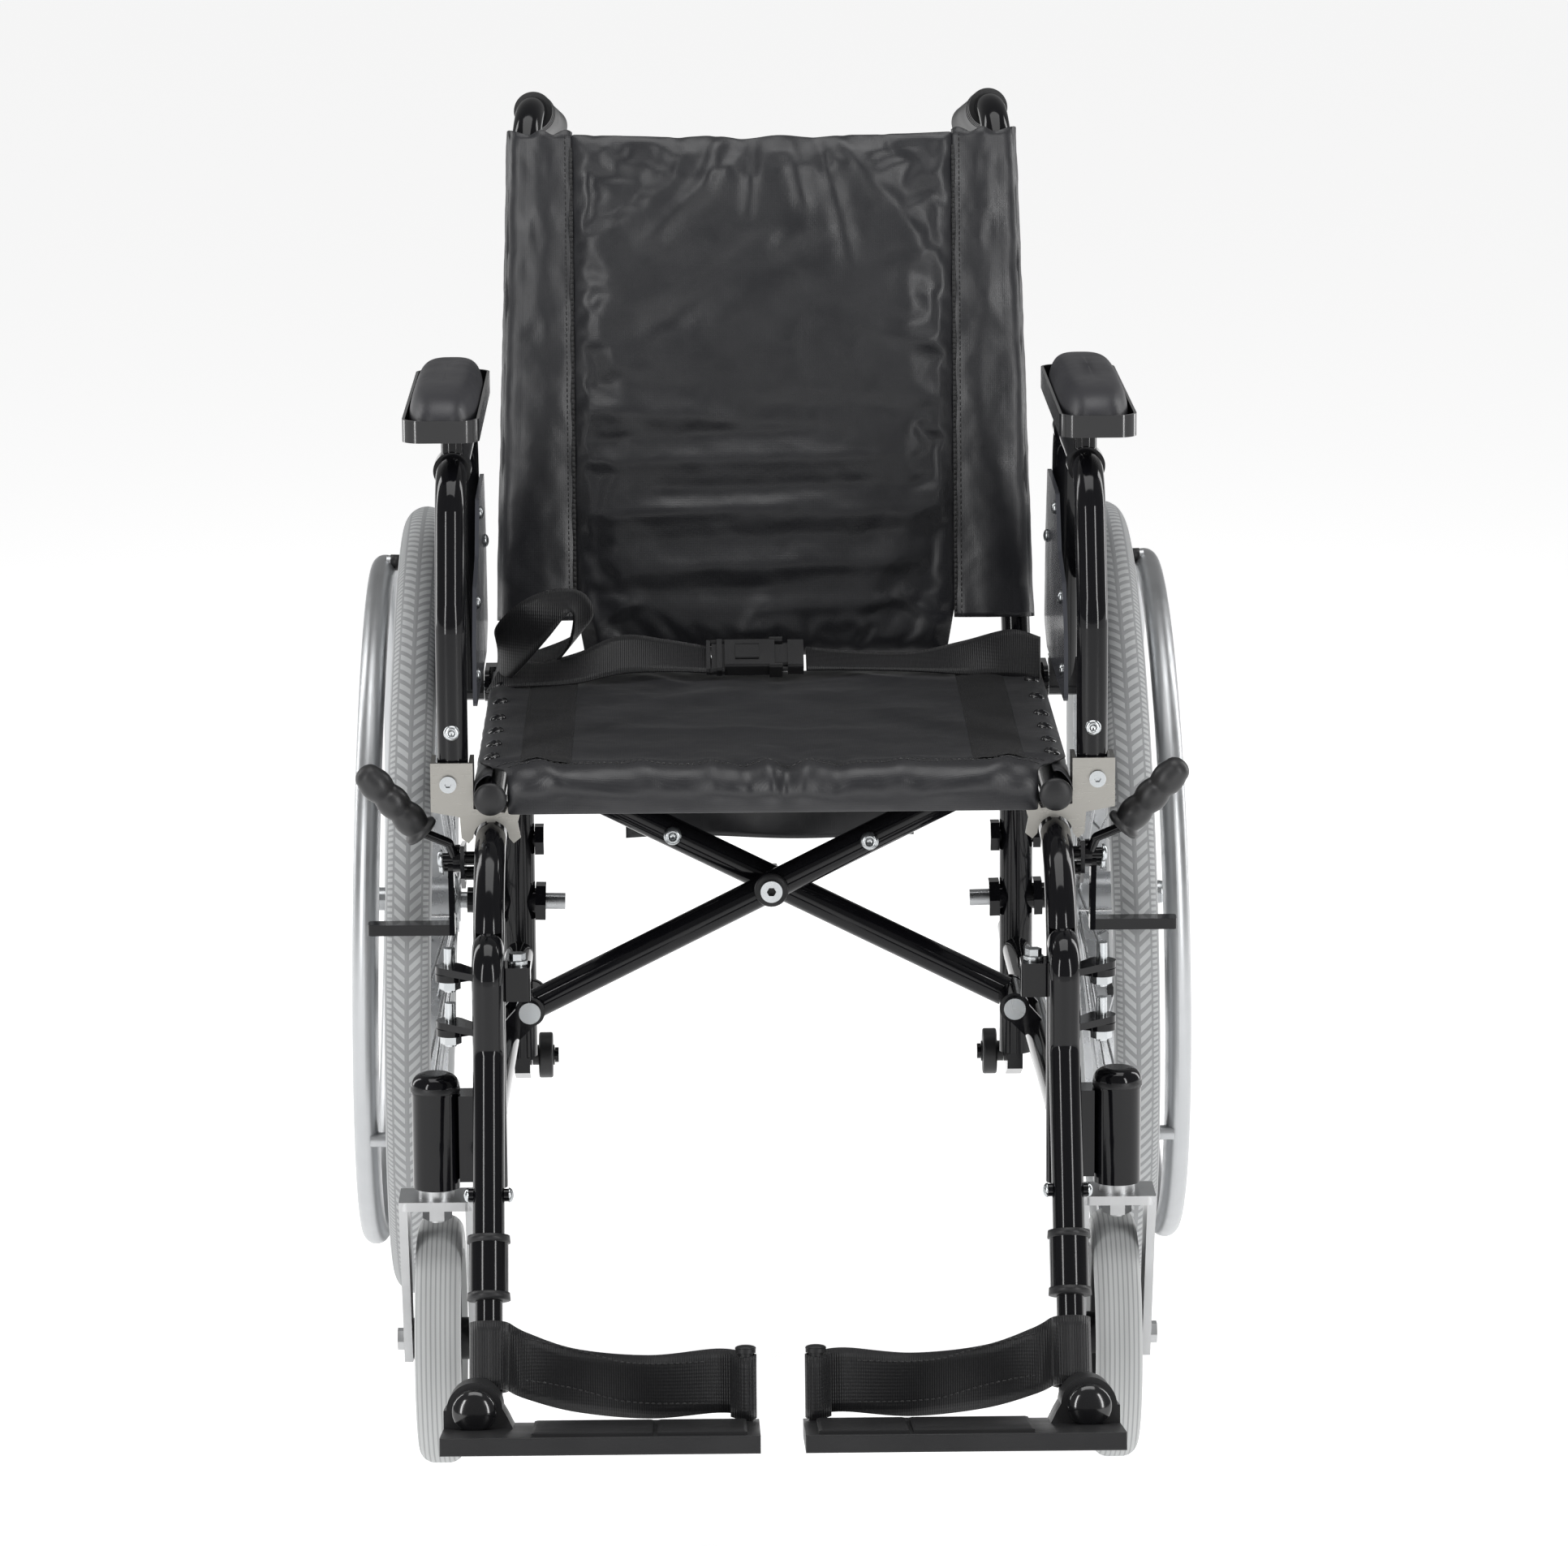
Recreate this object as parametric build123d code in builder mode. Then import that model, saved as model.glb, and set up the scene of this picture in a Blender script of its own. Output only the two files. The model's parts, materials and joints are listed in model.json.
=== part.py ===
from build123d import *
from math import cos, radians, sin, tan
import os

os.makedirs("parts", exist_ok=True)

# Folding manual wheelchair. Millimetres, +Z up, front of the chair toward -Y.
# "left" is the user's left (+X), "right" is the user's right (-X).
SIDES = (("left", 1), ("right", -1))

# overall places
AXLE_Y = 230.0            # rear axle; this puts the middle of the length at Y = 0
RAIL_X, RAIL_Z = 200.0, 471.0
RAIL_R = 11.0
TUBE_R, TUBE_WALL = 11.0, 2.0
FRONT_Y = -270.0          # front upright tube and caster stem
FRONT_BEND = 85.0
SIDE_TUBE_X, SIDE_TUBE_Z = 200.0, 441.0
LOWER_TUBE_Z = 262.0
POST_X, POST_R = 193.0, 12.7
BRACKET_Y = -181.0        # front face of the seat bracket

# folding cross brace
CROSS_Z = 371.0
PIVOT_X = 178.0
BRACE_SLOPE = 0.5
PIVOT_Z = CROSS_Z - PIVOT_X * BRACE_SLOPE
BRACE_FRONT_Y, BRACE_REAR_Y = -32.0, -8.0
SLEEVE_FRONT, SLEEVE_BACK = -45.0, 5.0
RAIL_FRONT, RAIL_BACK = -187.0, 206.0

# rear wheels
WHEEL_X, WHEEL_R, TYRE_R = 267.0, 305.0, 17.0
CAMBER = 1.25
WHEEL_Z = (WHEEL_R - TYRE_R) * cos(radians(CAMBER)) + TYRE_R
RIM_R, HANDRIM_R, HANDRIM_TUBE, HANDRIM_OFFSET = 276.4, 257.5, 9.75, 32.5

# casters
STEM_X = 239.0
CASTER_R, CASTER_HALF, TRAIL = 88.0, 16.0, 37.0
CASTER_Y = FRONT_Y + TRAIL

# hangers and footplates
HINGE_X, HINGE_Y = 227.0, -280.0
HINGE_LUGS = (322.0, 361.0)
HANGER_Y, HANGER_TOP_Z, HANGER_KINK_Z = -304.0, 384.0, 315.0
HANGER_ANGLE = 65.0
FOOT_X, FOOT_Y, FOOT_Z = 208.0, -440.0, 100.0
PLATE_TILT = 12.0         # front edge raised
BARREL_BACK, BARREL_FRONT = -401.0, -420.0
PLATE_FRONT_Y, PLATE_BACK_Y = -532.0, -410.0
PLATE_BOTTOM, PLATE_TOP, PLATE_INNER_X, PLATE_OUTER_X = 76.0, 88.0, 15.0, 229.0
PEG_X, PEG_Y = 24.0, -419.0

# armrests
ARM_X, ARM_FRONT_Y = 227.0, -165.0
ARM_PIVOT_Y, ARM_PIVOT_Z = 195.0, 480.0
ARM_TOP_Z = 690.0

# brakes
LEVER_Y, LEVER_Z = -124.0, 414.0
SHOE_Y, SHOE_Z = -104.0, 404.0

# reclined canes and push handles
CANE_TOP = (180.0, 288.0, 915.0)
CANE_END = (166.0, 430.0, 885.0)

ROLLER_Y, ROLLER_Z = 285.0, 166.0


def hanger_y(z):
    """Y of the hanger's centre line at height z on its sloping part."""
    return HANGER_Y - (HANGER_KINK_Z - z) / tan(radians(HANGER_ANGLE))


def tube(points, radius, wall, bend):
    """Bent round tube along a polyline with filleted corners; wall 0 gives a solid bar."""
    with BuildPart() as bar:
        with BuildLine() as path:
            if bend > 0:
                FilletPolyline(*points, radius=bend)
            else:
                Polyline(*points)
        with BuildSketch(Plane(origin=path.line @ 0, z_dir=path.line % 0)):
            Circle(radius)
            if wall > 0:
                Circle(radius - wall, mode=Mode.SUBTRACT)
        sweep()
    return bar.part


def rod(start, end, radius):
    """Straight solid rod between two points."""
    axis = Vector(*end) - Vector(*start)
    with BuildPart() as bar:
        with BuildSketch(Plane(origin=start, z_dir=axis)):
            Circle(radius)
        extrude(amount=axis.length)
    return bar.part


def band(points, half):
    """Face of a thin curved band that runs mostly across the chair."""
    front = [(x, y - half) for x, y in points]
    back = [(x, y + half) for x, y in points]
    with BuildSketch() as strip:
        with BuildLine():
            Spline(*front)
            Line(front[-1], back[-1])
            Spline(*reversed(back))
            Line(back[0], front[0])
        make_face()
    return strip.sketch


def tilted(part):
    """Turn a part built level to the footplate's slope."""
    return part.rotate(Axis((0, FOOT_Y, FOOT_Z), (1, 0, 0)), -PLATE_TILT)


def save(part, name):
    """Name one piece and write its STEP file."""
    part.label = name
    export_step(part, f"parts/{name}.step")


def wheel_plane(side, offset=0.0):
    """Plane across the cambered rear axle, moved outward along the axle by offset."""
    lean = radians(CAMBER)
    out = (side * cos(lean), 0, sin(lean))
    origin = (side * WHEEL_X + out[0] * offset, AXLE_Y, WHEEL_Z + out[2] * offset)
    return Plane(origin=origin, x_dir=(0, 1, 0), z_dir=out)


def side_frame(name, side):
    """Welded side frame: bent front tube, lower tube, rear upright, lugs and socket."""
    bent = tube(
        [
            (side * SIDE_TUBE_X, AXLE_Y - 4, SIDE_TUBE_Z),
            (side * SIDE_TUBE_X, FRONT_Y, SIDE_TUBE_Z),
            (side * SIDE_TUBE_X, FRONT_Y, 210),
        ],
        TUBE_R, TUBE_WALL, FRONT_BEND,
    )
    lower = tube([(side * 200, FRONT_Y + 4, LOWER_TUBE_Z), (side * 193.2, AXLE_Y - 6, LOWER_TUBE_Z)],
                 TUBE_R, TUBE_WALL, 0)
    with BuildPart() as frame:
        with BuildSketch(Plane.XY.offset(180)):
            with Locations((side * POST_X, AXLE_Y)):
                Circle(POST_R)
        extrude(amount=500 - 180)
        add(bent)
        add(lower)
        # hinge lugs for the hanger, upper and lower
        for z in HINGE_LUGS:
            with BuildSketch(Plane.XY.offset(z)):
                with Locations((side * HINGE_X, HINGE_Y)):
                    Circle(10)
                with BuildLine():
                    Polyline(
                        (side * 204, FRONT_Y - 7),
                        (side * 204, FRONT_Y + 7),
                        (side * (HINGE_X + 4), HINGE_Y + 9),
                        (side * (HINGE_X - 4), HINGE_Y - 9),
                        close=True,
                    )
                make_face()
            extrude(amount=5)
        # clevis lugs for the cross brace
        for y in (SLEEVE_FRONT - 5.3, SLEEVE_BACK + 0.3):
            with BuildSketch(Plane.XZ.offset(-y)):
                with Locations((side * PIVOT_X, PIVOT_Z)):
                    Circle(11)
                with BuildLine():
                    Polyline(
                        (side * (PIVOT_X - 3), PIVOT_Z - 10.5),
                        (side * (PIVOT_X + 3), PIVOT_Z + 10.5),
                        (side * 199, LOWER_TUBE_Z + 10),
                        (side * 195, LOWER_TUBE_Z - 10),
                        close=True,
                    )
                make_face()
            extrude(amount=-5)
        # block that carries the caster housing
        with BuildSketch(Plane.XY.offset(216)):
            with Locations((side * 215, FRONT_Y)):
                Rectangle(14.8, 24)
        extrude(amount=62)
        # lug for the armrest pivot on the rear upright
        with BuildSketch(Plane.YZ.offset(side * 212.2)):
            with Locations((ARM_PIVOT_Y, ARM_PIVOT_Z)):
                Circle(12)
            with Locations((211, ARM_PIVOT_Z)):
                Rectangle(32, 24)
        extrude(amount=side * 3.4)
        with BuildSketch(Plane.YZ.offset(side * 203)):
            with Locations((218, ARM_PIVOT_Z)):
                Rectangle(18, 24)
        extrude(amount=side * 9.2)
        # inner latch block beside the hanger
        with BuildSketch(Plane.XY.offset(346)):
            with Locations((side * 181, FRONT_Y - 2)):
                RectangleRounded(20, 24, 3)
        extrude(amount=24)
        # bore of the upright for the cane, and of the tubes behind the welds
        with BuildSketch(Plane.XY.offset(180)):
            with Locations((side * POST_X, AXLE_Y)):
                Circle(11.1)
        extrude(amount=330, mode=Mode.SUBTRACT)
        with BuildSketch(Plane.XY.offset(212)):
            with Locations((side * 200, FRONT_Y)):
                Circle(TUBE_R - TUBE_WALL)
        extrude(amount=180, mode=Mode.SUBTRACT)
        # stub at the back with a blind socket for an anti-tip bar
        with BuildSketch(Plane.XZ.offset(-(AXLE_Y + 11.2))):
            with Locations((side * POST_X, LOWER_TUBE_Z)):
                Circle(TUBE_R)
        extrude(amount=-58.8)
        with BuildSketch(Plane.XZ.offset(-(AXLE_Y + 14))):
            with Locations((side * POST_X, LOWER_TUBE_Z)):
                Circle(9.5)
        extrude(amount=-60, mode=Mode.SUBTRACT)
        # cross hole for the axle receiver, along the cambered axle
        with BuildSketch(wheel_plane(side, -60)):
            Circle(10.2)
        extrude(amount=-30, mode=Mode.SUBTRACT)
        # hole for the spare axle position
        with BuildSketch(Plane.YZ.offset(side * 176)):
            with Locations((AXLE_Y, 352)):
                Circle(6.2)
        extrude(amount=side * 34, mode=Mode.SUBTRACT)
        # holes for the hinge pins, brace bolt and armrest bolt
        with BuildSketch(Plane.XY.offset(310)):
            with Locations((side * HINGE_X, HINGE_Y)):
                Circle(4)
        extrude(amount=60, mode=Mode.SUBTRACT)
        with BuildSketch(Plane.XZ.offset(-(SLEEVE_FRONT - 10))):
            with Locations((side * PIVOT_X, PIVOT_Z)):
                Circle(5)
        extrude(amount=-80, mode=Mode.SUBTRACT)
        with BuildSketch(Plane.YZ.offset(side * 200)):
            with Locations((ARM_PIVOT_Y, ARM_PIVOT_Z)):
                Circle(4)
        extrude(amount=side * 18, mode=Mode.SUBTRACT)
    save(frame.part, name)


def back_cane(name, side):
    """Reclined back tube that bends rearward into the push handle."""
    cane = tube(
        [
            (side * POST_X, AXLE_Y, 440),
            (side * POST_X, AXLE_Y, 505),
            (side * CANE_TOP[0], CANE_TOP[1], CANE_TOP[2]),
            (side * CANE_END[0], CANE_END[1], CANE_END[2]),
        ],
        TUBE_R, TUBE_WALL, 40,
    )
    save(cane, name)


def handle_point(side, distance):
    """Point on the push handle's centre line, measured back from its bend."""
    start = Vector(side * CANE_TOP[0], CANE_TOP[1], CANE_TOP[2])
    end = Vector(side * CANE_END[0], CANE_END[1], CANE_END[2])
    return start + (end - start).normalized() * distance


def push_grip(name, side):
    """Ribbed rubber grip with a flange, over the handle's rear end."""
    start, end = handle_point(side, 42), handle_point(side, 150)
    with BuildPart() as grip:
        with BuildSketch(Plane(origin=start, z_dir=end - start)):
            Circle(14)
        extrude(amount=108)
        for step in range(4):
            rib = handle_point(side, 42 + step * 6)
            with BuildSketch(Plane(origin=rib, z_dir=end - start)):
                Circle(15)
            extrude(amount=3)
        with BuildSketch(Plane(origin=start, z_dir=end - start)):
            Circle(11.02)
        extrude(amount=104.5, mode=Mode.SUBTRACT)
    save(grip.part, name)


def seat_bracket(name, side):
    """Pressed sheet bracket: socket for the armrest post, saddle for the seat rail, arch."""
    with BuildPart() as bracket:
        with BuildSketch(Plane.XZ.offset(-BRACKET_Y)):
            with BuildLine():
                Polyline(
                    (side * 242.5, 495),
                    (side * 215.3, 495),
                    (side * 212.3, 482),
                    (side * 212.3, 462),
                    (side * 190, 459),
                    (side * 180, 480),
                    (side * 176, 470),
                    (side * 181, 452),
                    (side * 179, 441),
                    (side * 184, 437),
                    (side * 187.4, 441),
                    (side * 212.6, 441),
                    (side * 216, 437),
                    (side * 221, 441),
                    (side * 222, 456),
                    (side * 242.5, 460),
                    close=True,
                )
            make_face()
            with Locations((side * RAIL_X, RAIL_Z)):
                Circle(11.8, mode=Mode.SUBTRACT)
            with Locations((side * SIDE_TUBE_X, SIDE_TUBE_Z)):
                Circle(12.5, mode=Mode.SUBTRACT)
        extrude(amount=-3)
        # socket sides round the armrest's front leg
        with BuildSketch(Plane.XY.offset(460)):
            with Locations((side * 241, BRACKET_Y + 16), (side * 213.8, BRACKET_Y + 16)):
                Rectangle(3, 32)
        extrude(amount=35)
        # ledge that ties the bracket down to the side tube
        with BuildSketch(Plane.XY.offset(453.3)):
            with Locations((side * 201, BRACKET_Y + 16)):
                Rectangle(28, 32)
        extrude(amount=4)
        with BuildSketch(Plane.XY.offset(455)):
            with Locations((side * 213.8, BRACKET_Y + 16)):
                Rectangle(3, 32)
        extrude(amount=6)
        with BuildSketch(Plane.XY.offset(452.05)):
            with Locations((side * SIDE_TUBE_X, BRACKET_Y + 16)):
                Rectangle(6, 32)
        extrude(amount=3)
        # hole for the socket screw
        with BuildSketch(Plane.XZ.offset(-BRACKET_Y)):
            with Locations((side * 230, 480)):
                Circle(3)
        extrude(amount=-3, mode=Mode.SUBTRACT)
    save(bracket.part, name)


def axle_receiver(name, side):
    """Threaded sleeve through the upright with its nuts, and the spare-hole plug."""
    with BuildPart() as receiver:
        with BuildSketch(wheel_plane(side, -34)):
            Circle(10)
        extrude(amount=-58)
        for offset in (-54, -87):
            with BuildSketch(wheel_plane(side, offset)):
                RegularPolygon(13.5, 6, major_radius=False)
            extrude(amount=-6.5 if offset == -54 else -8)
        with BuildSketch(wheel_plane(side, -30)):
            Circle(6.43)
        extrude(amount=-66, mode=Mode.SUBTRACT)
        with BuildSketch(Plane.YZ.offset(side * 206)):
            with Locations((AXLE_Y, 352)):
                RegularPolygon(9, 6, major_radius=False)
        extrude(amount=side * 6)
        with BuildSketch(Plane.YZ.offset(side * 180)):
            with Locations((AXLE_Y, 352)):
                RegularPolygon(11, 6, major_radius=False)
        extrude(amount=-side * 7)
        with BuildSketch(Plane.YZ.offset(side * 173)):
            with Locations((AXLE_Y, 352)):
                Circle(6)
        extrude(amount=side * 37)
        # transit roller bracket below the upright
        with BuildSketch(Plane.YZ.offset(side * 186)):
            with BuildLine():
                Polyline(
                    (AXLE_Y - 12, 180),
                    (AXLE_Y + 24, 180),
                    (ROLLER_Y + 9, ROLLER_Z + 9),
                    (ROLLER_Y + 9, ROLLER_Z - 9),
                    (AXLE_Y + 20, 156),
                    (AXLE_Y - 12, 168),
                    close=True,
                )
            make_face()
        extrude(amount=side * 12)
        with BuildSketch(Plane.YZ.offset(side * 187)):
            with Locations((ROLLER_Y, ROLLER_Z)):
                Circle(4)
        extrude(amount=-side * 19)
        with BuildSketch(Plane.YZ.offset(side * 168)):
            with Locations((ROLLER_Y, ROLLER_Z)):
                Circle(6)
        extrude(amount=-side * 3)
        with BuildSketch(Plane.XY.offset(180)):
            with Locations((side * POST_X, AXLE_Y)):
                Circle(11.05)
        extrude(amount=18)
    save(receiver.part, name)


def frame_fasteners(name, side):
    """Zinc screws, hinge pins and nuts fixed to the side frame."""
    with BuildPart() as screws:
        with BuildSketch(Plane.XZ.offset(-BRACKET_Y)):
            with Locations((side * 230, 480)):
                Circle(2.95)
        extrude(amount=-3)
        with BuildSketch(Plane.XZ.offset(-BRACKET_Y)):
            with Locations((side * 230, 480)):
                Circle(6)
                RegularPolygon(2.5, 6, mode=Mode.SUBTRACT)
        extrude(amount=2.5)
        for z in HINGE_LUGS:
            with BuildSketch(Plane.XY.offset(z - 6)):
                with Locations((side * HINGE_X, HINGE_Y)):
                    RegularPolygon(6.5, 6, major_radius=False)
            extrude(amount=6)
            with BuildSketch(Plane.XY.offset(z - 8)):
                with Locations((side * HINGE_X, HINGE_Y)):
                    Circle(3.95)
            extrude(amount=31)
        # brace pivot bolt
        with BuildSketch(Plane.XZ.offset(-(SLEEVE_FRONT - 10.3))):
            with Locations((side * PIVOT_X, PIVOT_Z)):
                Circle(8)
        extrude(amount=-5)
        with BuildSketch(Plane.XZ.offset(-(SLEEVE_FRONT - 5.3))):
            with Locations((side * PIVOT_X, PIVOT_Z)):
                Circle(4.95)
        extrude(amount=-(SLEEVE_BACK - SLEEVE_FRONT + 10.6))
        with BuildSketch(Plane.XZ.offset(-(SLEEVE_BACK + 5.3))):
            with Locations((side * PIVOT_X, PIVOT_Z)):
                RegularPolygon(8, 6, major_radius=False)
        extrude(amount=-6)
        # armrest pivot bolt
        with BuildSketch(Plane.YZ.offset(side * 212.3)):
            with Locations((ARM_PIVOT_Y, ARM_PIVOT_Z)):
                Circle(3.95)
        extrude(amount=side * 27)
        with BuildSketch(Plane.YZ.offset(side * 238.3)):
            with Locations((ARM_PIVOT_Y, ARM_PIVOT_Z)):
                Circle(7)
        extrude(amount=side * 2.6)
        # latch bolt beside the hanger
        with BuildSketch(Plane.XY.offset(370.2)):
            with Locations((side * 180, FRONT_Y - 2)):
                Circle(7)
        extrude(amount=3)
        with BuildSketch(Plane.XY.offset(373.2)):
            with Locations((side * 180, FRONT_Y - 2)):
                RegularPolygon(5, 6, major_radius=False)
        extrude(amount=5)
    save(screws.part, name)


def armrest(side_name, side):
    """Armrest tube, tray, pad and side panel."""
    with BuildPart() as arm:
        add(tube(
            [
                (side * ARM_X, ARM_FRONT_Y, 468),
                (side * ARM_X, ARM_FRONT_Y, 595),
                (side * ARM_X, ARM_FRONT_Y + 40, ARM_TOP_Z),
                (side * ARM_X, 140, ARM_TOP_Z),
                (side * ARM_X, ARM_PIVOT_Y, ARM_PIVOT_Z),
            ],
            TUBE_R, TUBE_WALL, 40,
        ))
        # plugged lower end of the rear leg, pivoting on its bolt
        with BuildSketch(Plane.YZ.offset(side * 216)):
            with Locations((ARM_PIVOT_Y, ARM_PIVOT_Z)):
                Circle(11)
            with Locations((ARM_PIVOT_Y - 2, ARM_PIVOT_Z + 9)):
                Rectangle(18, 22)
        extrude(amount=side * 22)
        # screws that hold the side panel to the rear leg
        for y, z in ((162, 605), (178, 545)):
            with BuildSketch(Plane.YZ.offset(side * 215.3)):
                with Locations((y, z)):
                    Circle(4)
            extrude(amount=side * 4)
        with BuildSketch(Plane.YZ.offset(side * 214)):
            with Locations((ARM_PIVOT_Y, ARM_PIVOT_Z)):
                Circle(4.03)
        extrude(amount=side * 28, mode=Mode.SUBTRACT)
        # pad posts and clamp saddles
        for y in (-80, 95):
            with BuildSketch(Plane.XZ.offset(-(y - 11))):
                with Locations((side * ARM_X, ARM_TOP_Z)):
                    Circle(13.5)
                    Circle(TUBE_R - 1, mode=Mode.SUBTRACT)
            extrude(amount=-22)
            with BuildSketch(Plane.XY.offset(ARM_TOP_Z + 10.5)):
                with Locations((side * ARM_X, y)):
                    Circle(8)
            extrude(amount=716 - ARM_TOP_Z - 10.5)
    save(arm.part, f"arm_tube_{side_name}")

    pad_x, pad_y = 233.5, 5
    with BuildPart() as tray:
        with BuildSketch(Plane.XY.offset(716)):
            with Locations((side * pad_x, pad_y)):
                RectangleRounded(55, 270, 14)
        extrude(amount=16)
        with BuildSketch(Plane.XY.offset(719)):
            with Locations((side * pad_x, pad_y)):
                RectangleRounded(51, 266, 12)
        extrude(amount=20, mode=Mode.SUBTRACT)
    save(tray.part, f"arm_tray_{side_name}")

    with BuildPart() as pad:
        with BuildSketch(Plane.XY.offset(719.3)):
            with Locations((side * pad_x, pad_y)):
                RectangleRounded(50.2, 265.2, 11.6)
        extrude(amount=31)
        fillet(pad.faces().sort_by(Axis.Z)[-1].edges(), 11)
    save(pad.part, f"arm_pad_{side_name}")

    with BuildPart() as panel:
        with BuildSketch(Plane.YZ.offset(side * 212.2)) as outline:
            with BuildLine():
                Polyline(
                    (-78, 515),
                    (-74, 562),
                    (-48, 598),
                    (8, 612),
                    (36, 650),
                    (148, 652),
                    (172, 600),
                    (186, 530),
                    (150, 515),
                    close=True,
                )
            make_face()
            fillet(outline.vertices(), 7)
        extrude(amount=side * 3)
    save(panel.part, f"side_panel_{side_name}")


def rear_wheel(side_name, side):
    """Cambered rear wheel: tyre, spoked rim with hub and axle, and handrim."""
    plane = wheel_plane(side)
    with BuildPart() as tyre:
        with Locations(plane.location):
            Torus(WHEEL_R - TYRE_R, TYRE_R)
            Cylinder(RIM_R + 0.1, 60, mode=Mode.SUBTRACT)
    save(tyre.part, f"tyre_{side_name}")

    spokes = []
    for index in range(36):
        turn = index * 10.0
        layer = 1 if index % 2 == 0 else -1
        lace = 32.0 if index % 4 < 2 else -32.0
        hub = (22 * cos(radians(turn + lace)), 22 * sin(radians(turn + lace)), layer * 26)
        end = (264 * cos(radians(turn)), 264 * sin(radians(turn)), layer * 3)
        spokes.append(rod(plane.from_local_coords(hub), plane.from_local_coords(end), 1.15))
    with BuildPart() as rim:
        with Locations(plane.location):
            Cylinder(RIM_R, 25)
            Cylinder(262, 60, mode=Mode.SUBTRACT)
            Cylinder(17, 58)
        with Locations(wheel_plane(side, 26).location, wheel_plane(side, -26).location):
            Cylinder(25, 4)
        with Locations(wheel_plane(side, -55).location):
            Cylinder(6.35, 110)
        with Locations(wheel_plane(side, 33).location):
            Cylinder(9, 10)
        add(spokes)
    save(rim.part, f"rim_{side_name}")

    with BuildPart() as handrim:
        with Locations(wheel_plane(side, HANDRIM_OFFSET).location):
            Torus(HANDRIM_R, HANDRIM_TUBE)
        for index in range(6):
            turn = radians(index * 60 + 90)
            with Locations(wheel_plane(side, 12.6)):
                with Locations((265 * cos(turn), 265 * sin(turn), 8.5)):
                    Cylinder(5.5, 17)
    save(handrim.part, f"handrim_{side_name}")


def caster(side_name, side):
    """Caster housing, fork with stem, tyre and hub."""
    with BuildPart() as housing:
        with BuildSketch(Plane.XY.offset(210)):
            with Locations((side * STEM_X, FRONT_Y)):
                Circle(16.5)
        extrude(amount=68)
        with BuildSketch(Plane.XY.offset(278)):
            with Locations((side * STEM_X, FRONT_Y)):
                Circle(17)
        extrude(amount=14)
        fillet(housing.faces().sort_by(Axis.Z)[-1].edges(), 9)
        with BuildSketch(Plane.XY.offset(210)):
            with Locations((side * STEM_X, FRONT_Y)):
                Circle(6.06)
        extrude(amount=60, mode=Mode.SUBTRACT)
    save(housing.part, f"caster_housing_{side_name}")

    with BuildPart() as fork:
        # crown
        with BuildSketch(Plane.XY.offset(197)):
            with Locations((side * STEM_X, FRONT_Y)):
                RectangleRounded(52.6, 40, 6)
        extrude(amount=6.5)
        # legs reach back to the wheel axle
        for outer in (-1, 1):
            x = side * STEM_X + outer * 26.3
            with BuildSketch(Plane.YZ.offset(x)):
                with BuildLine():
                    Polyline(
                        (FRONT_Y + 20, 203.5),
                        (FRONT_Y - 20, 203.5),
                        (CASTER_Y - 15, CASTER_R + 4),
                        (CASTER_Y - 8, CASTER_R - 15),
                        (CASTER_Y + 8, CASTER_R - 15),
                        (CASTER_Y + 15, CASTER_R + 4),
                        close=True,
                    )
                make_face()
            extrude(amount=-outer * 6)
        # stem, bearing washer, flange nut and wheel axle
        with BuildSketch(Plane.XY.offset(185)):
            with Locations((side * STEM_X, FRONT_Y)):
                Circle(6)
        extrude(amount=84)
        with BuildSketch(Plane.XY.offset(203.5)):
            with Locations((side * STEM_X, FRONT_Y)):
                Circle(13)
        extrude(amount=6.2)
        with BuildSketch(Plane.XY.offset(187)):
            with Locations((side * STEM_X, FRONT_Y)):
                RegularPolygon(9, 6, major_radius=False)
        extrude(amount=10)
        with BuildSketch(Plane.YZ.offset(side * STEM_X - 29)):
            with Locations((CASTER_Y, CASTER_R)):
                Circle(4)
        extrude(amount=58)
        for outer in (-1, 1):
            with BuildSketch(Plane.YZ.offset(side * STEM_X + outer * 26.3)):
                with Locations((CASTER_Y, CASTER_R)):
                    RegularPolygon(7, 6, major_radius=False)
            extrude(amount=outer * 5)
    save(fork.part, f"caster_fork_{side_name}")

    wheel = Plane(origin=(side * STEM_X, CASTER_Y, CASTER_R), z_dir=(1, 0, 0))
    with BuildPart() as tyre:
        with Locations(wheel.location):
            Cylinder(CASTER_R, 2 * CASTER_HALF)
        fillet(tyre.edges(), 11)
        with Locations(wheel.location):
            Cylinder(64, 60, mode=Mode.SUBTRACT)
    save(tyre.part, f"caster_tyre_{side_name}")

    with BuildPart() as hub:
        with Locations(wheel.location):
            Cylinder(63.9, 24)
        for outer in (-1, 1):
            with BuildSketch(Plane.YZ.offset(side * STEM_X + outer * 12)):
                with Locations((CASTER_Y, CASTER_R)):
                    Circle(56)
                    Circle(15, mode=Mode.SUBTRACT)
            extrude(amount=-outer * 8, mode=Mode.SUBTRACT)
            with BuildSketch(Plane.YZ.offset(side * STEM_X + outer * 11)):
                with Locations((CASTER_Y, CASTER_R)):
                    Circle(15)
            extrude(amount=outer * 8.6)
        with BuildSketch(Plane.YZ.offset(side * STEM_X - 22)):
            with Locations((CASTER_Y, CASTER_R)):
                Circle(4.06)
        extrude(amount=44, mode=Mode.SUBTRACT)
    save(hub.part, f"caster_hub_{side_name}")


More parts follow.
